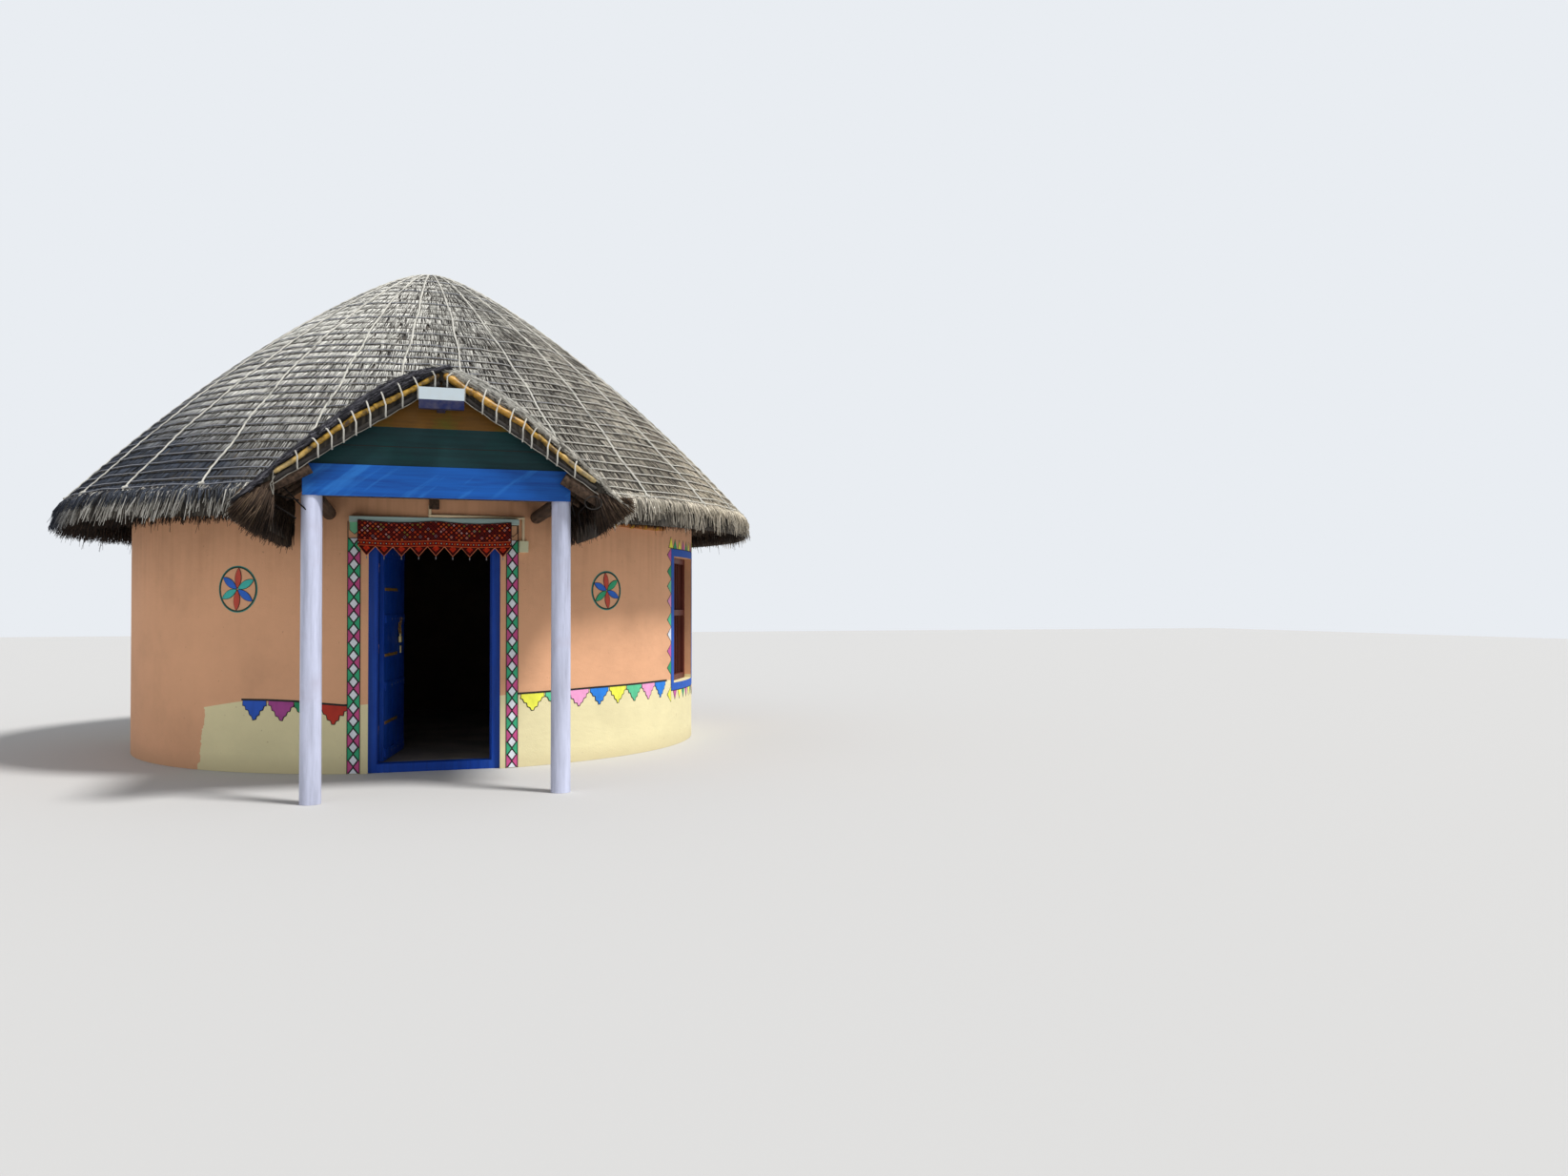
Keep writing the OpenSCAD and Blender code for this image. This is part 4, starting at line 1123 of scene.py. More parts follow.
class HUT_OT_dome_ropes(bpy.types.Operator):
    """Ties the dome with ropes down the slope and twine round it"""
    bl_idname = "hut.dome_ropes"
    bl_label = "Dome ropes"

    def execute(self, context):
        size = sizes()
        rng = np.random.default_rng(5)
        down, knots = [], []
        s = np.linspace(0.07, DOME_LENGTH - 0.06, 90)
        for i in range(size.ropes):
            turn = (i + 0.5) * 2 * math.pi / size.ropes
            sway = 0.012 * np.sin(s * 1.6 + 2.4 * i) + 0.004 * np.sin(s * 9 + i)
            sway = turn + sway * np.minimum(1, s * 0.6)
            place, out, _ = dome_at(s, sway, 0.023 + 0.003 * np.sin(s * 52))
            keep = ~in_porch(place, 0.02)
            down.append(place[keep])
            if keep[-1]:
                knots.append((place[-1], out[-1], sway[-1]))
        ropes = tube([p for p in down if len(p) > 1], size.rope, sides=6)
        settle(ropes, "roof_ropes", "rope", smooth=60)

        tied = []
        for place, out, turn in knots:
            tied.append(ring(place + out * 0.004, 0.018, 0.01, 10, 6, (0.5, 0, turn)))
            for k in (-1, 1):
                a = place + np.array([math.cos(turn), math.sin(turn), 0]) * 0.01 * k
                b = a + round_place(0.035, turn, -0.05 - 0.05 * rng.random())
                tied.append(tube([[a, (a + b) / 2 + out * 0.012, b]], 0.01, sides=4))
        settle(joined(tied), "rope_knots", "rope", smooth=60)

        # Twine lies on every course low on the roof and on every third near the crown, lowest where
        # it meets a rope; under the tips of the courses that it lies on, a dark tube is painted shadow
        rounds, shadow_lines = [], []
        tips = courses(DOME_LENGTH)
        for k, level in enumerate(tips[1:], 1):
            count = max(24, int(2 * math.pi * np.interp(level, S_STEPS, R_STEPS) / 0.09))
            turn = np.linspace(-math.pi, math.pi, count + 1)[:-1] + rng.uniform(0, 0.02)
            phase = (turn + math.pi) / (2 * math.pi) * size.ropes
            between = np.abs(np.sin(math.pi * phase))
            wave = ripple(turn, k * 2.3, 31, 3)
            tied_down = level > DOME_LENGTH * 0.5 or k % 3 == 1
            if tied_down:
                s = level - 0.004 - 0.014 * between * rng.uniform(0.5, 1.3) + 0.007 * wave
                if k == len(tips) - 1:
                    s = s - 0.045
                rounds.append(round_course(s, turn, 0.0225 + 0.003 * ripple(turn, k, 7, 5)))
            if tied_down and k < len(tips) - 1:
                low = level + 0.009 - 0.01 * between + 0.006 * wave
                shadow_lines.append(round_course(low, turn, 0.003 + 0.007 * ripple(turn, k, 9, 9)))
        twine = tube([p for p in rounds if len(p) > 2], size.twine, sides=4)
        settle(twine, "roof_twine", "twine", smooth=80)
        shade = tube([p for p in shadow_lines if len(p) > 2], 0.009, sides=4)
        settle(shade, "course_gaps", "shadow_straw", smooth=80)
        return {"FINISHED"}


class HUT_OT_porch_straw(bpy.types.Operator):
    """Lays the straw of the porch's two slopes and of its front edge"""
    bl_idname = "hut.porch_straw"
    bl_label = "Porch straw"

    def execute(self, context):
        size = sizes()
        rng = np.random.default_rng(17)
        rows = []
        deep = 2.15
        for side in (-1, 1):
            for tip in courses(PORCH_LENGTH):
                place, own, gap = tufted(rng, deep, size.straw_gap)
                count = len(place)
                y = VERGE_Y - 0.035 + deep * place
                begin, end = along_course(rng, tip, own, gap, 0.006 * np.sin(y * 9 + tip), 0)
                a, _, _ = porch_at(begin, side, y, 0.001)
                lean = 0.014 * own[:, 1] + rng.normal(0, 0.006, count)
                proud = 0.018 + 0.002 * np.abs(own[:, 2]) + 0.005 * rng.random(count) ** 2
                b, out, _ = porch_at(end, side, y + lean, proud)
                middle = (a + b) / 2
                keep = middle[:, 2] > dome_height(middle[:, 0], middle[:, 1]) - 0.03
                # Bundles in the gap beside a tuft are painted darker, as painted shade between tufts
                tone = 0.58 + 0.05 * own[:, 3] + rng.normal(0, 0.21, count) - 0.1 * gap
                # Near the front on the left the bundles are painted darker, as painted shade
                tone = tone - 0.4 * (side < 0) * (y < VERGE_Y + 0.1)
                width = size.straw_width * rng.uniform(0.7, 1.35, count)
                rows.append([v[keep] for v in (a, b, out, width, tone)])
        a, b, out, width, tone = merged(rows)
        laid_straw("porch_straw", a, b, out, width, 0.006, tone, "straw")

        # The front edge is a sheared roll of straw that runs down the slope, thick on the left and painted
        # dark there as painted shade
        count = 6400
        side = rng.choice([-1, 1], count)
        x = rng.uniform(0, 1.36, count)
        share = rng.random(count)
        low = np.interp(x, [0, 0.6, 1.15, 1.36], [3.175, 2.84, 2.415, 2.2])
        high = porch_height(x) + 0.012
        z = low + (high - low) * share
        thatch_slope = PORCH_PITCH * x / np.sqrt(x ** 2 + PORCH_ROUND ** 2)
        slope = np.arctan((1 - share) * 0.667 + share * thatch_slope)
        long = rng.uniform(0.07, 0.18, count)
        bulge = np.where(side < 0, 0.055, 0.03) * np.sqrt(np.clip(1 - (2 * share - 1) ** 2, 0, 1))
        y = VERGE_Y - 0.004 - bulge * rng.uniform(0.6, 1, count)
        astray, steeper = rng.normal(0, 0.08, (2, count))
        way = np.stack([side * np.cos(slope), astray, -np.sin(slope) + steeper], -1)
        middle = np.stack([side * x, y, z], -1)
        out = np.tile([0.0, -1.0, 0.25], (count, 1))
        # The left side's bundles are painted darker, as painted shade
        tone = np.where(side < 0, 0.2 + 0.12 * share, 0.25 + 0.4 * share) + rng.normal(0, 0.15, count)
        width = 0.011 * rng.uniform(0.6, 1.3, count)
        half = way * long[:, None] / 2
        for name, which, look in (("left", side < 0, "eave_straw"), ("right", side > 0, "straw")):
            a, b, out_of, wide, shade = (v[which] for v in (middle - half, middle + half, out, width, tone))
            laid_straw("verge_straw_" + name, a, b, out_of, wide, 0.008, shade, look, root=0.0)
        return {"FINISHED"}


class HUT_OT_porch_fringe(bpy.types.Operator):
    """Hangs the brushes of straw at the porch's side eaves, brown and painted dark as painted shade"""
    bl_idname = "hut.porch_fringe"
    bl_label = "Porch fringe"

    def execute(self, context):
        rng = np.random.default_rng(19)
        count = 11000
        side = rng.choice([-1, 1], count)
        edge = rng.random(count)
        x = 1.16 + 0.25 * edge
        y = rng.uniform(VERGE_Y - 0.02, -2.7, count)
        y = np.where(rng.random(count) < 0.12, VERGE_Y - rng.uniform(0, 0.03, count), y)
        top = np.interp(x, [1.15, 1.41], [2.33, 2.27])
        reach = x + 0.01 + 0.02 * edge + rng.normal(0, 0.012, count)
        left_low = np.interp(reach, [1.12, 1.17, 1.30, 1.42], [1.9, 1.91, 1.96, 2.04])
        right_low = np.interp(reach, [1.12, 1.17, 1.30, 1.42], [1.96, 1.97, 2.06, 2.15])
        ragged = 0.012 * ripple(y * 3, side, 23) + 0.012 * rng.normal(0, 1, count)
        low = np.where(side < 0, left_low, right_low) + ragged + 0.1 * rng.random(count) ** 3
        strand = rng.random(count) < 0.03
        low = np.where(strand, low - rng.uniform(0.01, 0.07, count), low)
        start = low + (top - low) * rng.uniform(0.45, 1, count)
        from_x = np.maximum(x - (0.06 + 0.1 * edge) * (start - low) / 0.3, 1.142)
        a = np.stack([side * from_x, y, start], -1)
        b = np.stack([side * reach, y + rng.normal(0, 0.025, count), low + 0.015], -1)
        keep = np.hypot(a[:, 0], a[:, 1]) > 2.95
        out = np.stack([side * 1.0, np.full(count, -0.4), np.full(count, 0.3)], -1)
        # Nearer the wall the straw is painted darker, as painted shade under the eave
        tone = 0.24 + 0.2 * edge + rng.normal(0, 0.14, count)
        width = np.where(strand, 0.006, 0.012 * rng.uniform(0.5, 1.3, count))
        a, b, out, width, tone = (v[keep] for v in (a, b, out, width, tone))
        laid_straw("porch_fringe", a, b, out, width, 0.008, tone, "brown_straw", root=0.05)

        # Light straw of the top coat bends over the eave
        deep = 1.9
        rows = []
        for side in (-1, 1):
            place, own, _ = tufted(rng, deep, 0.008)
            count = len(place)
            y = VERGE_Y - 0.03 + deep * place
            a, out, _ = porch_at(PORCH_LENGTH - rng.uniform(0.02, 0.13, count), side, y, 0.017)
            over, _, _ = porch_at(PORCH_LENGTH + 0.004, side, y, 0.016 + 0.008 * rng.random(count))
            reach = 1.435 + 0.008 * own[:, 1] + rng.normal(0, 0.008, count)
            low = (2.13 if side > 0 else 2.09) + 0.018 * own[:, 0] + rng.normal(0, 0.014, count)
            b = np.stack([side * reach, y + 0.014 * own[:, 2], low], -1)
            keep = np.hypot(over[:, 0], over[:, 1]) > DOME_R - 0.1
            tone = 0.5 + 0.15 * own[:, 3] + rng.normal(0, 0.13, count)
            rows.append([v[keep] for v in (a, b, out, over, tone)])
        a, b, out, over, tone = merged(rows)
        width = 0.013 * rng.uniform(0.6, 1.3, len(a))
        laid_straw("porch_eave_straw", a, b, out, width, 0.007, tone, "fringe_straw", root=-0.1, middle=over)
        return {"FINISHED"}


class HUT_OT_verge(bpy.types.Operator):
    """Models the split bamboo along the gable, the poles under the porch's eaves and their cords"""
    bl_idname = "hut.verge"
    bl_label = "Gable edge"

    def execute(self, context):
        rng = np.random.default_rng(37)

        def centre(x):
            """Height of the bamboo's middle at a distance from the gable's peak."""
            return np.interp(x, [0.015, 0.6, 0.611, 1.14], [3.141, 2.80, 2.7925, 2.381])

        paths, girths = [], []
        for side in (-1, 1):
            x = 0.03
            while x < 1.1:
                end = min(1.14, x + rng.uniform(0.16, 0.3))
                steps = np.linspace(x - 0.012, end, 12)
                kink = rng.uniform(-0.006, 0.006, 2)
                share = np.linspace(0, 1, 12)
                lift = kink[0] * (1 - share) + kink[1] * share + 0.004 * np.sin(share * 6.3 + x * 9)
                paths.append([(side * a, VERGE_Y - 0.026 - 0.004 * math.sin(5 * a), centre(a) + b)
                              for a, b in zip(steps, lift)])
                fat = (1.25 if x < 0.5 else 0.95) if side > 0 else 0.92
                rough = 0.16 if side > 0 and x < 0.62 else 0.07
                girth = fat * (0.86 + 0.1 * np.sin(share * math.pi) + rng.uniform(-rough, rough, 12))
                girth[[0, -1]] *= 0.7
                girth[[1, -2]] *= 1.12
                girths.append(girth)
                x = end
        bamboo = tube(paths, sizes().bamboo, sides=10, girths=girths)
        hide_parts("verge_bamboo")
        settle(bamboo, "split_bamboo_edge", "bamboo", smooth=50)

        # The join of the two green boards shows as a dark line
        join = block((0, VERGE_Y + 0.0995, 2.615), (1.46, 0.002, 0.005))
        settle(join, "board_join", "black")

        # A slack cord runs under the rod on each side
        cords = []
        for side in (-1, 1):
            x = np.linspace(0.04, 1.16, 40)
            sag = 0.008 * np.abs(np.sin(x * 21)) + 0.004 * np.sin(x * 7)
            cords.append([(side * a, VERGE_Y - 0.034, gable_height(a) - 0.036 - b) for a, b in zip(x, sag)])
        # A loose cord hangs at the left end, and a loop of cane at the right one
        knot = (-1.14, -4.46, 2.225)
        cords.append([(-1.14, -4.46, 2.40), (-1.145, -4.462, 2.33), (-1.138, -4.46, 2.27), knot])
        cords.append([(-1.13, -4.46, 2.36), (-1.16, -4.462, 2.30), (-1.148, -4.46, 2.25), knot])
        turns = np.linspace(0, 2 * math.pi, 19)
        loop = [(1.12 + 0.065 * math.cos(a), -4.46 + 0.01 * math.sin(2 * a), 2.225 + 0.05 * math.sin(a))
                for a in turns]
        settle(tube([loop], 0.009, sides=6), "cane_loop", "rod", smooth=60)
        settle(tube(cords, 0.007, sides=6), "gable_cords", "cord", smooth=60)

        poles = [[(-0.90, -4.405, 2.43), (-1.1, -4.4, 2.327), (-1.301, -4.395, 2.225)],
                 [(0.90, -4.405, 2.41), (1.05, -4.4, 2.32), (1.18, -4.395, 2.24), (1.2, -4.395, 2.227)]]
        girth = [[0.9, 0.95, 0.85], [1.1, 1.15, 1.05, 0.7]]
        for side in (-1, 1):
            for y in (-4.15, -3.85, -3.5):
                poles.append(from_slope([(0.95, y, 2.43), (1.06, y, 2.352), (1.18, y - 0.01, 2.262)], side))
                girth.append([0.62, 0.66, 0.6])
        settle(tube(poles, 0.09, sides=12, girths=girth), "eave_poles", "timber", smooth=50)
        # Under the right eave a pole lies against the wall's top, lashed with yellow cord
        from_axis, pole_z = 2.886, 2.205
        turn = np.radians(np.linspace(27, 50, 22))
        pole = round_place(from_axis, turn, pole_z + 0.006 * np.sin(14 * turn))
        settle(tube([pole], 0.046, sides=10), "wall_top_pole", "eave_pole", smooth=50)
        rings = []
        about = np.linspace(0, 2 * math.pi, 11)
        for a in np.radians([30, 34.5, 39, 43, 47]):
            along = np.array([math.cos(a), math.sin(a), 0])
            for k in (-1, 0, 1):
                turned = round_place(from_axis + 0.026 * np.cos(about), a, pole_z + 0.026 * np.sin(about))
                rings.append(turned + along * k * 0.011)
        settle(tube(rings, 0.009, sides=4), "pole_lashing", "lashing", smooth=60)
        sticks = [[(-1.12, -4.36, 2.33), (-1.0, -4.34, 2.2), (-0.93, -4.33, 2.13)],
                  [(-1.2, -4.4, 2.26), (-1.08, -4.36, 2.22), (-0.98, -4.34, 2.20)],
                  [(-1.28, -4.38, 2.2), (-1.17, -4.36, 2.18), (-1.06, -4.34, 2.11), (-1.0, -4.33, 2.07)],
                  [(1.02, -4.36, 2.33), (0.97, -4.34, 2.22), (1.0, -4.33, 2.13)],
                  [(1.1, -4.38, 2.24), (1.02, -4.36, 2.15), (1.04, -4.35, 2.05)]]
        settle(tube(sticks, 0.011, sides=5), "loose_sticks", "brown_straw", smooth=50)
        return {"FINISHED"}


class HUT_OT_porch_ropes(bpy.types.Operator):
    """Binds the porch's front edge with rope loops and its slope with twine"""
    bl_idname = "hut.porch_ropes"
    bl_label = "Porch ropes"

    def execute(self, context):
        rng = np.random.default_rng(29)
        loops = []
        for side in (-1, 1):
            for x in (0.09, 0.215, 0.328, 0.436, 0.545, 0.632, 0.71, 0.806, 0.892, 1.016):
                top_x = x + rng.uniform(-0.012, 0.012)
                low_x = max(0.03, x - 0.045 + rng.uniform(-0.012, 0.012))
                top, low = porch_height(top_x), gable_height(low_x)
                bulge = 0.058 if side < 0 else 0.034
                points = [(top_x, VERGE_Y + 0.14, top + 0.02), (top_x, VERGE_Y + 0.02, top + 0.026),
                          (top_x - 0.004, VERGE_Y - bulge * 0.8, top - 0.012),
                          ((top_x + low_x) / 2, VERGE_Y - bulge - 0.01, (top + low) / 2 + 0.03),
                          (low_x, VERGE_Y - 0.06, low + 0.045), (low_x, VERGE_Y - 0.062, low - 0.01),
                          (low_x, VERGE_Y - 0.03, low - 0.044), (low_x, VERGE_Y + 0.02, low - 0.03)]
                loops.append(from_slope(points, side))
        settle(tube(loops, 0.012, sides=6), "verge_ropes", "rope", smooth=60)

        # Under each line of twine a dark tube lies as painted shadow
        lines, shadow_lines = [], []
        for side in (-1, 1):
            for k, tip in enumerate(courses(PORCH_LENGTH)[1:], 1):
                y = np.linspace(VERGE_Y - 0.015, -2.3, 34)
                wave = 0.006 * np.sin(y * 5 + k) + 0.003 * np.sin(y * 17 + 2 * k)
                for level, proud, kept in ((tip - 0.014, 0.023, lines), (tip + 0.008, 0.008, shadow_lines)):
                    place, _, _ = porch_at(level + wave, side, y, proud)
                    keep = place[:, 2] > dome_height(place[:, 0], place[:, 1]) - 0.01
                    if level <= PORCH_LENGTH and keep.sum() > 2:
                        kept.append(place[keep])
        settle(tube(lines, sizes().twine, sides=4), "porch_twine", "twine", smooth=80)
        settle(tube(shadow_lines, 0.011, sides=4), "porch_gaps", "shadow_straw", smooth=80)
        return {"FINISHED"}


class HUT_OT_bunting(bpy.types.Operator):
    """Paints the row of pennants along the wall"""
    bl_idname = "hut.bunting"
    bl_label = "Bunting"

    def execute(self, context):
        # Azimuths from the door in degrees, and paints
        # The left run's paints are darker, partly paints of their own and partly painted shade; the right
        # run's are lighter, partly painted sunlight
        left = [(-31.2, "left_blue"), (-26.1, "left_pink"), (-21.35, "left_green"), (-16.9, "left_red")]
        right = [(17.05, "yellow"), (21.75, "mint"), (26.45, "pink"), (31.2, "blue"), (35.9, "yellow"),
                 (40.6, "mint"), (45.25, "pink"), (49.85, "blue")]
        # A pennant's stepped edge, in shares of its half width and its drop
        steps = [(1, .27), (.82, .3), (.73, .5), (.5, .54), (.41, .76), (.19, .82), (.1, 1)]

        def line_height(degrees):
            return float(np.interp(degrees, [-33.6, -28.5, -23.7, -15, 14, 30, 48, 53],
                                   [.625, .626, .619, .584, .651, .671, .676, .674]))

        def pennant(middle, half, drop, seed):
            """Straight along the line, with hand-drawn steps down to a blunt point."""
            rng = np.random.default_rng(seed)
            slope = (line_height(middle + 1) - line_height(middle - 1)) / arc(2)
            outline = [(-half, 0.0)]
            for side in (-1, 1):
                edge = []
                for a, b in steps:
                    shake = rng.uniform(-0.004, 0.004, 2)
                    edge.append((side * (half * a + shake[0]), -drop * b + shake[1]))
                outline += edge if side < 0 else edge[::-1]
            outline.append((half, 0.0))
            return [(arc(middle) + x, line_height(middle) + z + slope * x) for x, z in outline]

        outlines, shades = [], {}
        for seed, (middle, shade) in enumerate(left + right):
            half = arc(2.42) if middle < 0 else arc(2.28)
            drop = 0.168 if middle < 0 else 0.158
            outlines.append(grown(pennant(middle, half - 0.006, drop, seed), 0.006))
            shades.setdefault(shade, []).append(grown(pennant(middle, half - 0.006, drop, seed), -0.003))
        for shade, shapes in shades.items():
            painted("bunting_" + shade, shapes, 2, shade)
        painted_halves("bunting_edges_left", outlines[:len(left)], 1, "black")
        painted_halves("bunting_edges_right", outlines[len(left):], 1, "black")
        lines = []
        for low, high in ((-33.75, -14.5), (14.25, 52.6)):
            at = np.linspace(low, high, 30)
            lines.append([(arc(a), line_height(a) - 0.006) for a in at]
                         + [(arc(a), line_height(a) + 0.010) for a in reversed(at)])
        painted("bunting_line", lines, 3, "black")
        return {"FINISHED"}


class HUT_OT_door_strips(bpy.types.Operator):
    """Paints the two strips of diamonds beside the door"""
    bl_idname = "hut.door_strips"
    bl_label = "Door strips"

    def execute(self, context):
        # Height of one crossing, half a strip's width, height of the strips, and crossings in each
        pitch, half, top, count = 0.1115, 0.05, 2.012, 18
        green, pink, black, white, edges, tops = [], [], [], [], [], []
        for middle in (arc(-13.5), arc(13.22)):
            for i in range(count):
                cross = top - (i + 0.5) * pitch
                low, high = max(cross - pitch / 2, 0.004), cross + pitch / 2
                (pink if i % 2 else green).append(rectangle(middle - half, middle + half, low, high))
            # A diamond between each two crossings, and half of one at the top
            for i in range(count + 1):
                z = top - i * pitch
                sorts = ((black, 0.048, pitch / 2 + 0.006), (white, 0.033, pitch / 2 - 0.014))
                for shapes, wide, tall in sorts:
                    shape = [(middle - wide, z)] + [(middle, z - tall)] * (i < count)
                    shapes.append(shape + [(middle + wide, z)] + [(middle, z + tall)] * (i > 0))
            for x in (middle - half - 0.002, middle + half + 0.002):
                edges.append(rectangle(x - 0.003, x + 0.003, 0.0, 2.16))
            tops.append(rectangle(middle - half, middle + half, top - 0.003, top + 0.004))
        painted("strip_green", green, 1, "strip_green")
        painted("strip_pink", pink, 1, "strip_pink")
        painted_halves("strip_lines", black, 2, "black")
        painted("strip_diamonds", white, 3, "white")
        painted("strip_edges", edges, 3, "black")
        painted("strip_tops", tops, 3, "black")
        # A green tag over the left strip, and only the outline of one over the right
        middle = arc(-13.42)
        tag = [(middle - 0.04, 2.15), (middle - 0.04, 2.085), (middle, 2.05), (middle + 0.04, 2.085),
               (middle + 0.04, 2.15)]
        painted("strip_tag_edge", [grown(tag, 0.005)], 2, "black")
        painted("strip_tag", [tag], 3, "tag_green")
        other = np.array(tag) + (arc(13.3) - middle, -0.004)
        painted("strip_tag_outline", [grown(other, 0.003), grown(other, -0.003)], 2, "black")
        return {"FINISHED"}


class HUT_OT_rosettes(bpy.types.Operator):
    """Paints a six-petalled flower in a ring on each side of the door"""
    bl_idname = "hut.rosettes"
    bl_label = "Rosettes"

    def execute(self, context):
        petals, edges, rings, halos = {}, [], [], []
        # Azimuth, height, radius, paints of the petals, and degrees that the flower leans
        flowers = ((-34.75, 1.578, 0.196, ("petal_red", "petal_teal", "petal_blue"), 4),
                   (32.95, 1.576, 0.178, ("petal_red", "petal_green", "petal_blue"), -6))
        for azimuth, height, radius, shades, lean in flowers:
            centre = np.array([arc(azimuth), height])
            for i in range(6):
                turn = math.radians(90 - 60 * i - lean)
                along = np.array([math.cos(turn), math.sin(turn)])
                across = np.array([-along[1], along[0]])
                share = np.linspace(0, 1, 11)
                wide = 0.155 * radius * np.sin(share * math.pi) ** 0.8
                reach = radius * (0.05 + 0.88 * share)
                petal = [centre + along * a + across * w for a, w in zip(reach, wide)]
                petal += [centre + along * a - across * w for a, w in list(zip(reach, wide))[-2:0:-1]]
                petals.setdefault(shades[i % 3], []).append(petal)
                edges.append(grown(petal, 0.0045))
            turns = np.linspace(0, 2 * math.pi, 49)[:-1]
            circle = np.stack([np.cos(turns), np.sin(turns)], 1)
            rings += [centre + circle * radius, centre + circle * (radius - 0.013)]
            halos += [centre + circle * (radius + 0.007), centre + circle * (radius - 0.002)]
        for shade, shapes in petals.items():
            painted("rosette_" + shade, shapes, 3, shade, step=0.04)
        painted_halves("rosette_edges", edges, 2, "black", step=0.04)
        painted("rosette_rings", rings, 2, "ring", step=0.04)
        painted("rosette_halos", halos, 1, "halo", step=0.04)
        return {"FINISHED"}


class HUT_OT_window(bpy.types.Operator):
    """Paints the window's border and triangles, and sets its bars"""
    bl_idname = "hut.window"
    bl_label = "Window"

    def execute(self, context):
        middle = arc(WINDOW_AT)
        half = math.asin(WINDOW_HALF / WALL_R) * WALL_R
        inner = rectangle(middle - half, middle + half, WINDOW_LOW, WINDOW_HIGH)
        outer = rectangle(middle - half - 0.07, middle + half + 0.07, 0.566, 2.013)
        painted("window_border", [outer, inner], 2, "border_blue")
        painted("window_border_edge", [grown(outer, 0.010), grown(outer, -0.002)], 1, "black")
        pink, green, lemon = "triangle_pink", "triangle_green", "yellow"
        shapes, edges = {}, []

        def triangle(shape, shade):
            shapes.setdefault(shade, []).append(shape)
            edges.append(grown(shape, 0.013))

        heights = (1.95, 1.78, 1.63, 1.48, 1.29, 1.14, 0.97, 0.80)
        column = (pink, green, "tag_green", "pink", "mint", "white", pink, green)
        for side in (-1, 1):
            x = middle + side * (half + 0.077)
            for z, shade in zip(heights, column):
                triangle([(x, z - 0.068), (x + side * 0.082, z), (x, z + 0.068)], shade)
            triangle([(x + side * 0.004, 0.455), (x + side * 0.082, 0.53), (x + side * 0.004, 0.6)], lemon)
            triangle([(x - 0.048, 2.026), (x + 0.048, 2.026), (x, 2.13)], lemon)
        for z, way, tall in ((2.022, 1, 0.085), (0.557, -1, 0.08)):
            shades = (green, lemon, pink) if way > 0 else (pink, lemon, green)
            for i in range(7):
                x = middle - half + 0.035 + i * (2 * half - 0.07) / 6
                triangle([(x - 0.046, z), (x + 0.046, z), (x, z + way * tall)], shades[i % 3])
        for shade, group in shapes.items():
            painted("window_" + shade, group, 2, shade)
        painted_halves("window_triangle_edges", edges, 1, "black")

        turn = math.radians(WINDOW_AT)
        bars = []
        for i in range(9):
            across = -0.39 + 0.78 * (i + 0.5) / 9
            back = -(WALL_R - 0.15)
            x = across * math.cos(turn) - back * math.sin(turn)
            y = across * math.sin(turn) + back * math.cos(turn)
            bars.append([(x, y, z) for z in (0.69, 1.0, 1.3, 1.6, 1.89)])
        settle(tube(bars, 0.018, sides=8), "window_bars", "window", smooth=60)
        return {"FINISHED"}


def on_leaf(along, out, z):
    """A place on the open leaf: along from the hinge, out from its face, height."""
    x, y = along, -LEAF_FACE - out
    cos, sin = math.cos(DOOR_OPEN), math.sin(DOOR_OPEN)
    return Vector((HINGE[0] + x * cos - y * sin, HINGE[1] + x * sin + y * cos, z))


class HUT_OT_door(bpy.types.Operator):
    """Adds the leaf's studs, its chain and its padlock"""
    bl_idname = "hut.door"
    bl_label = "Door"

    def execute(self, context):
        studs = []
        # A row of studs at the height of each batten
        for z in (0.146, 0.729, 1.317, 1.898):
            for i in range(5):
                place = on_leaf(0.30 + i * 0.145, 0.004, z)
                studs.append(ball(place, sizes().stud, 12, 8, (0.8, 0.8, 1.5)))
        settle(joined(studs), "door_studs", "bright_brass", "leaf", smooth=40)

        links = []
        for i in range(7):
            place = on_leaf(0.69 - 0.06 * math.sin(i * 0.45), 0.018, 1.31 - i * 0.021)
            turned = (math.radians(90), 0, DOOR_OPEN + (0.7 if i % 2 else -0.5))
            links.append(ring(place, 0.016, 0.0038, 12, 6, turned))
        settle(joined(links), "door_chain", "brass", "leaf", smooth=50)
        body = block(on_leaf(0.64, 0.022, 1.125), (0.075, 0.024, 0.06), 0.006, DOOR_OPEN)
        bow = ring(on_leaf(0.64, 0.022, 1.162), 0.022, 0.005, 16, 8, (math.radians(90), 0, DOOR_OPEN))
        settle(joined([body, bow]), "door_padlock", "bright_brass", "leaf", smooth=40)
        # A short end of the hasp hangs loose below
        hasp = block(on_leaf(0.72, 0.01, 1.03), (0.03, 0.012, 0.07), 0.004, DOOR_OPEN)
        settle(hasp, "door_hasp", "bright_brass", "leaf")

        # A dark bracket on the wall, beside the conduit's upper end
        bracket = block((-0.015, -2.868, 2.31), (0.085, 0.05, 0.085), 0.006)
        settle(bracket, "wall_bracket", "timber")
        return {"FINISHED"}


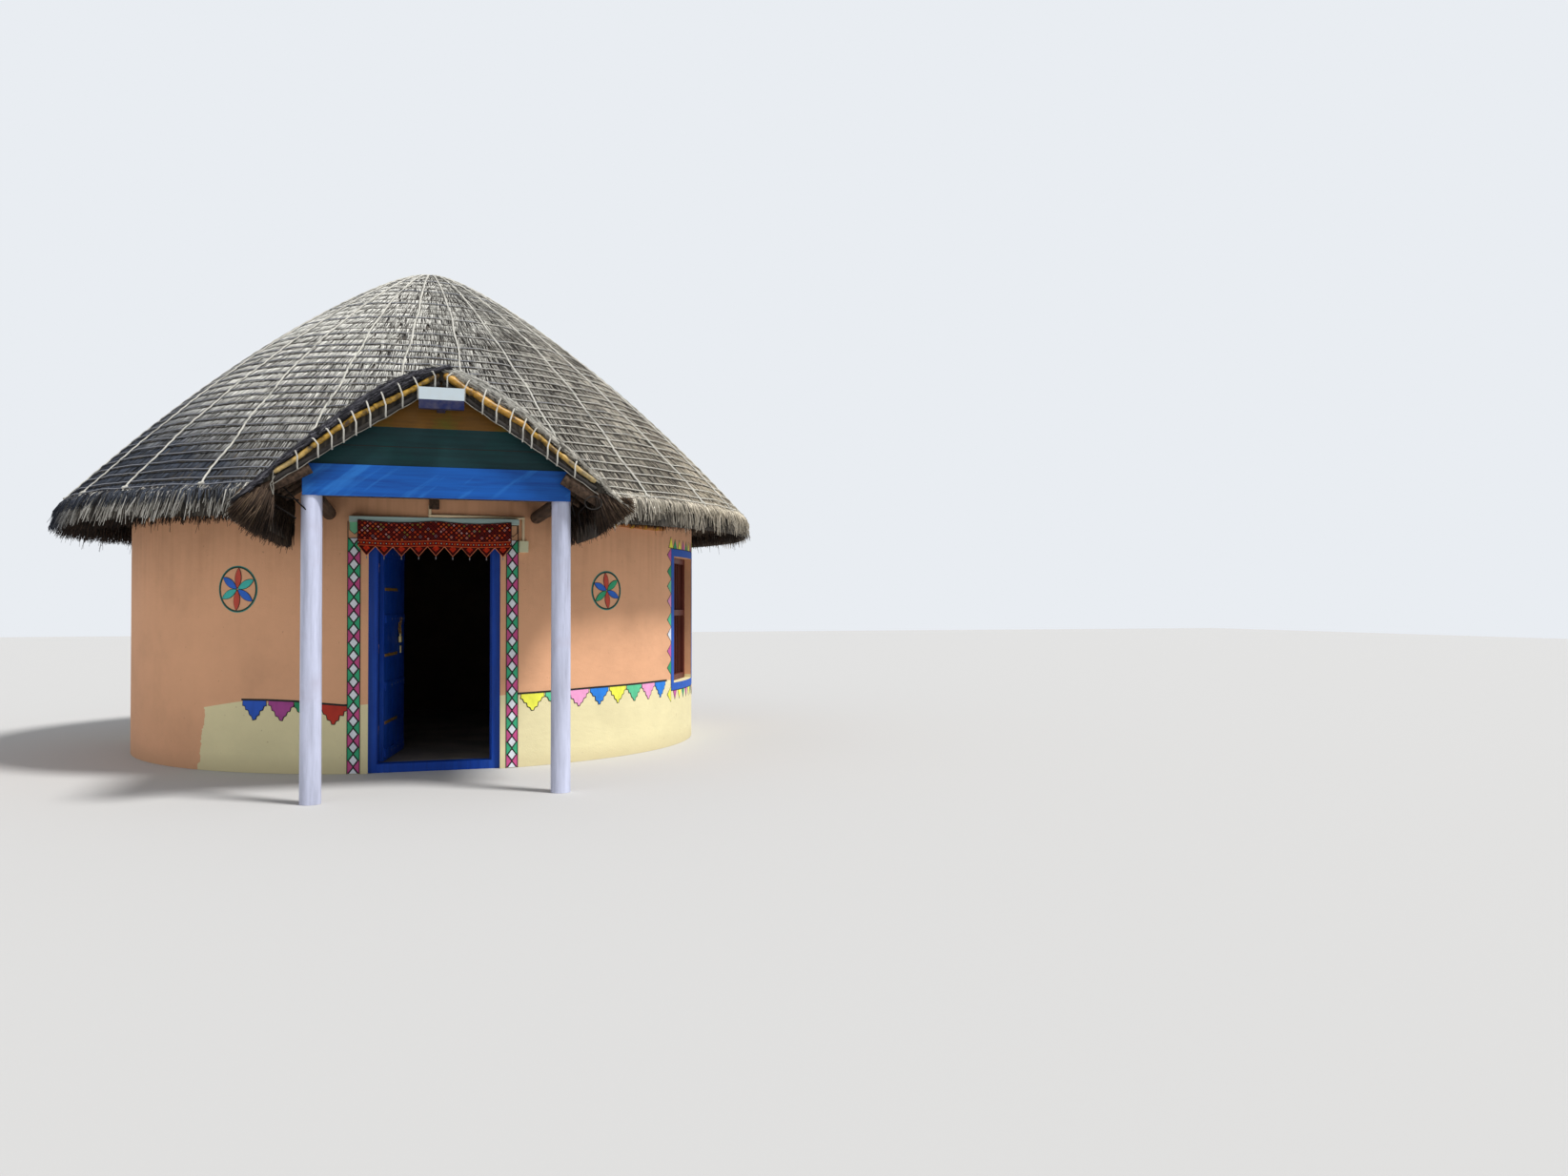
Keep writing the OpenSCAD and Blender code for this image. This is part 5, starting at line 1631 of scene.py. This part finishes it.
class HUT_OT_valance(bpy.types.Operator):
    """Hangs the embroidered valance over the door"""
    bl_idname = "hut.valance"
    bl_label = "Valance"

    def execute(self, context):
        width, band, drop, count = VALANCE_W, 0.215, 0.085, VALANCE_TEETH
        # The height of the cloth's top edge, and the y of its plane
        top, front = 2.165, -2.8913
        pitch = width / count

        def hung(x, down):
            """The cloth hangs from three nails, so its top dips twice, and it falls in soft folds."""
            dip = 0.02 * abs(math.sin(2 * math.pi * (x / width + 0.5))) * (1 - 0.5 * down / band)
            fold = 0.004 * math.sin(x * 31) + 0.003 * math.sin(x * 77 + 1.3)
            return (x, front - fold * down / band, top - down - dip)

        clear_selection()
        bpy.ops.mesh.primitive_grid_add(x_subdivisions=135, y_subdivisions=30, size=1)
        cloth = context.object
        flat = []
        for vertex in cloth.data.vertices:
            x = vertex.co.x * width
            share = 0.5 - vertex.co.y
            tooth = drop * (1 - abs(2 * ((x + width / 2) / pitch % 1) - 1))
            flat.append((x, share * (band + tooth)))
            vertex.co = hung(*flat[-1])
        layer = cloth.data.uv_layers.active.data
        for loop in cloth.data.loops:
            layer[loop.index].uv = flat[loop.vertex_index]
        modified(cloth, "SOLIDIFY", thickness=0.002, offset=0)
        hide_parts("valance")
        settle(cloth, "valance_cloth", "cloth", smooth=60)

        hem, beads = [], []
        for i in range(count):
            left = -width / 2 + i * pitch
            corners = [(left, band), (left + pitch / 2, band + drop), (left + pitch, band)]
            hem.append([Vector(hung(*corner)) + Vector((0, -0.002, 0)) for corner in corners])
            for lower, radius in ((0.008, 0.004), (0.018, 0.006), (0.027, 0.004)):
                beads.append(ball(hung(left + pitch / 2, band + drop + lower), radius, 8, 6))
        braid = tube(hem, 0.0085, sides=6)
        settle(braid, "valance_braid", "braid", smooth=60)
        beads = settle(joined(beads), "valance_beads", "bead", smooth=60)
        edge = [(-width / 2, d) for d in np.linspace(band, 0, 12)]
        edge += [(x, 0) for x in np.linspace(-width / 2, width / 2, 80)]
        edge += [(width / 2, d) for d in np.linspace(0, band, 12)]
        binding = tube([[hung(x, d) for x, d in edge]], 0.008, sides=6)
        settle(binding, "valance_binding", "maroon", smooth=60)
        return {"FINISHED"}


class HUT_PT_panel(bpy.types.Panel):
    """Lists the hut's pieces and their settings"""
    bl_label = "Round Thatched Hut"
    bl_idname = "HUT_PT_panel"
    bl_space_type = "VIEW_3D"
    bl_region_type = "UI"
    bl_category = "Hut"

    def draw(self, context):
        for group in (context.scene.hut_sizes, context.scene.hut_colours):
            box = self.layout.box()
            for name in group.__annotations__:
                box.prop(group, name)
        for operator in OPERATORS:
            self.layout.operator(operator.bl_idname)


OPERATORS = [
    HUT_OT_stage, HUT_OT_frame_finishes, HUT_OT_door_strips, HUT_OT_bunting, HUT_OT_rosettes,
    HUT_OT_window, HUT_OT_door, HUT_OT_valance, HUT_OT_verge, HUT_OT_porch_ropes, HUT_OT_dome_ropes,
    HUT_OT_porch_fringe, HUT_OT_porch_straw, HUT_OT_dome_fringe, HUT_OT_dome_straw]


def register():
    for kind in (HutSizes, HutColours, *OPERATORS, HUT_PT_panel):
        bpy.utils.register_class(kind)
    bpy.types.Scene.hut_sizes = bpy.props.PointerProperty(type=HutSizes)
    bpy.types.Scene.hut_colours = bpy.props.PointerProperty(type=HutColours)


def unregister():
    del bpy.types.Scene.hut_colours
    del bpy.types.Scene.hut_sizes
    for kind in reversed((HutSizes, HutColours, *OPERATORS, HUT_PT_panel)):
        bpy.utils.unregister_class(kind)


def main():
    register()
    for operator in OPERATORS:
        group, action = operator.bl_idname.split(".")
        getattr(getattr(bpy.ops, group), action)()


if __name__ == "__main__":
    main()
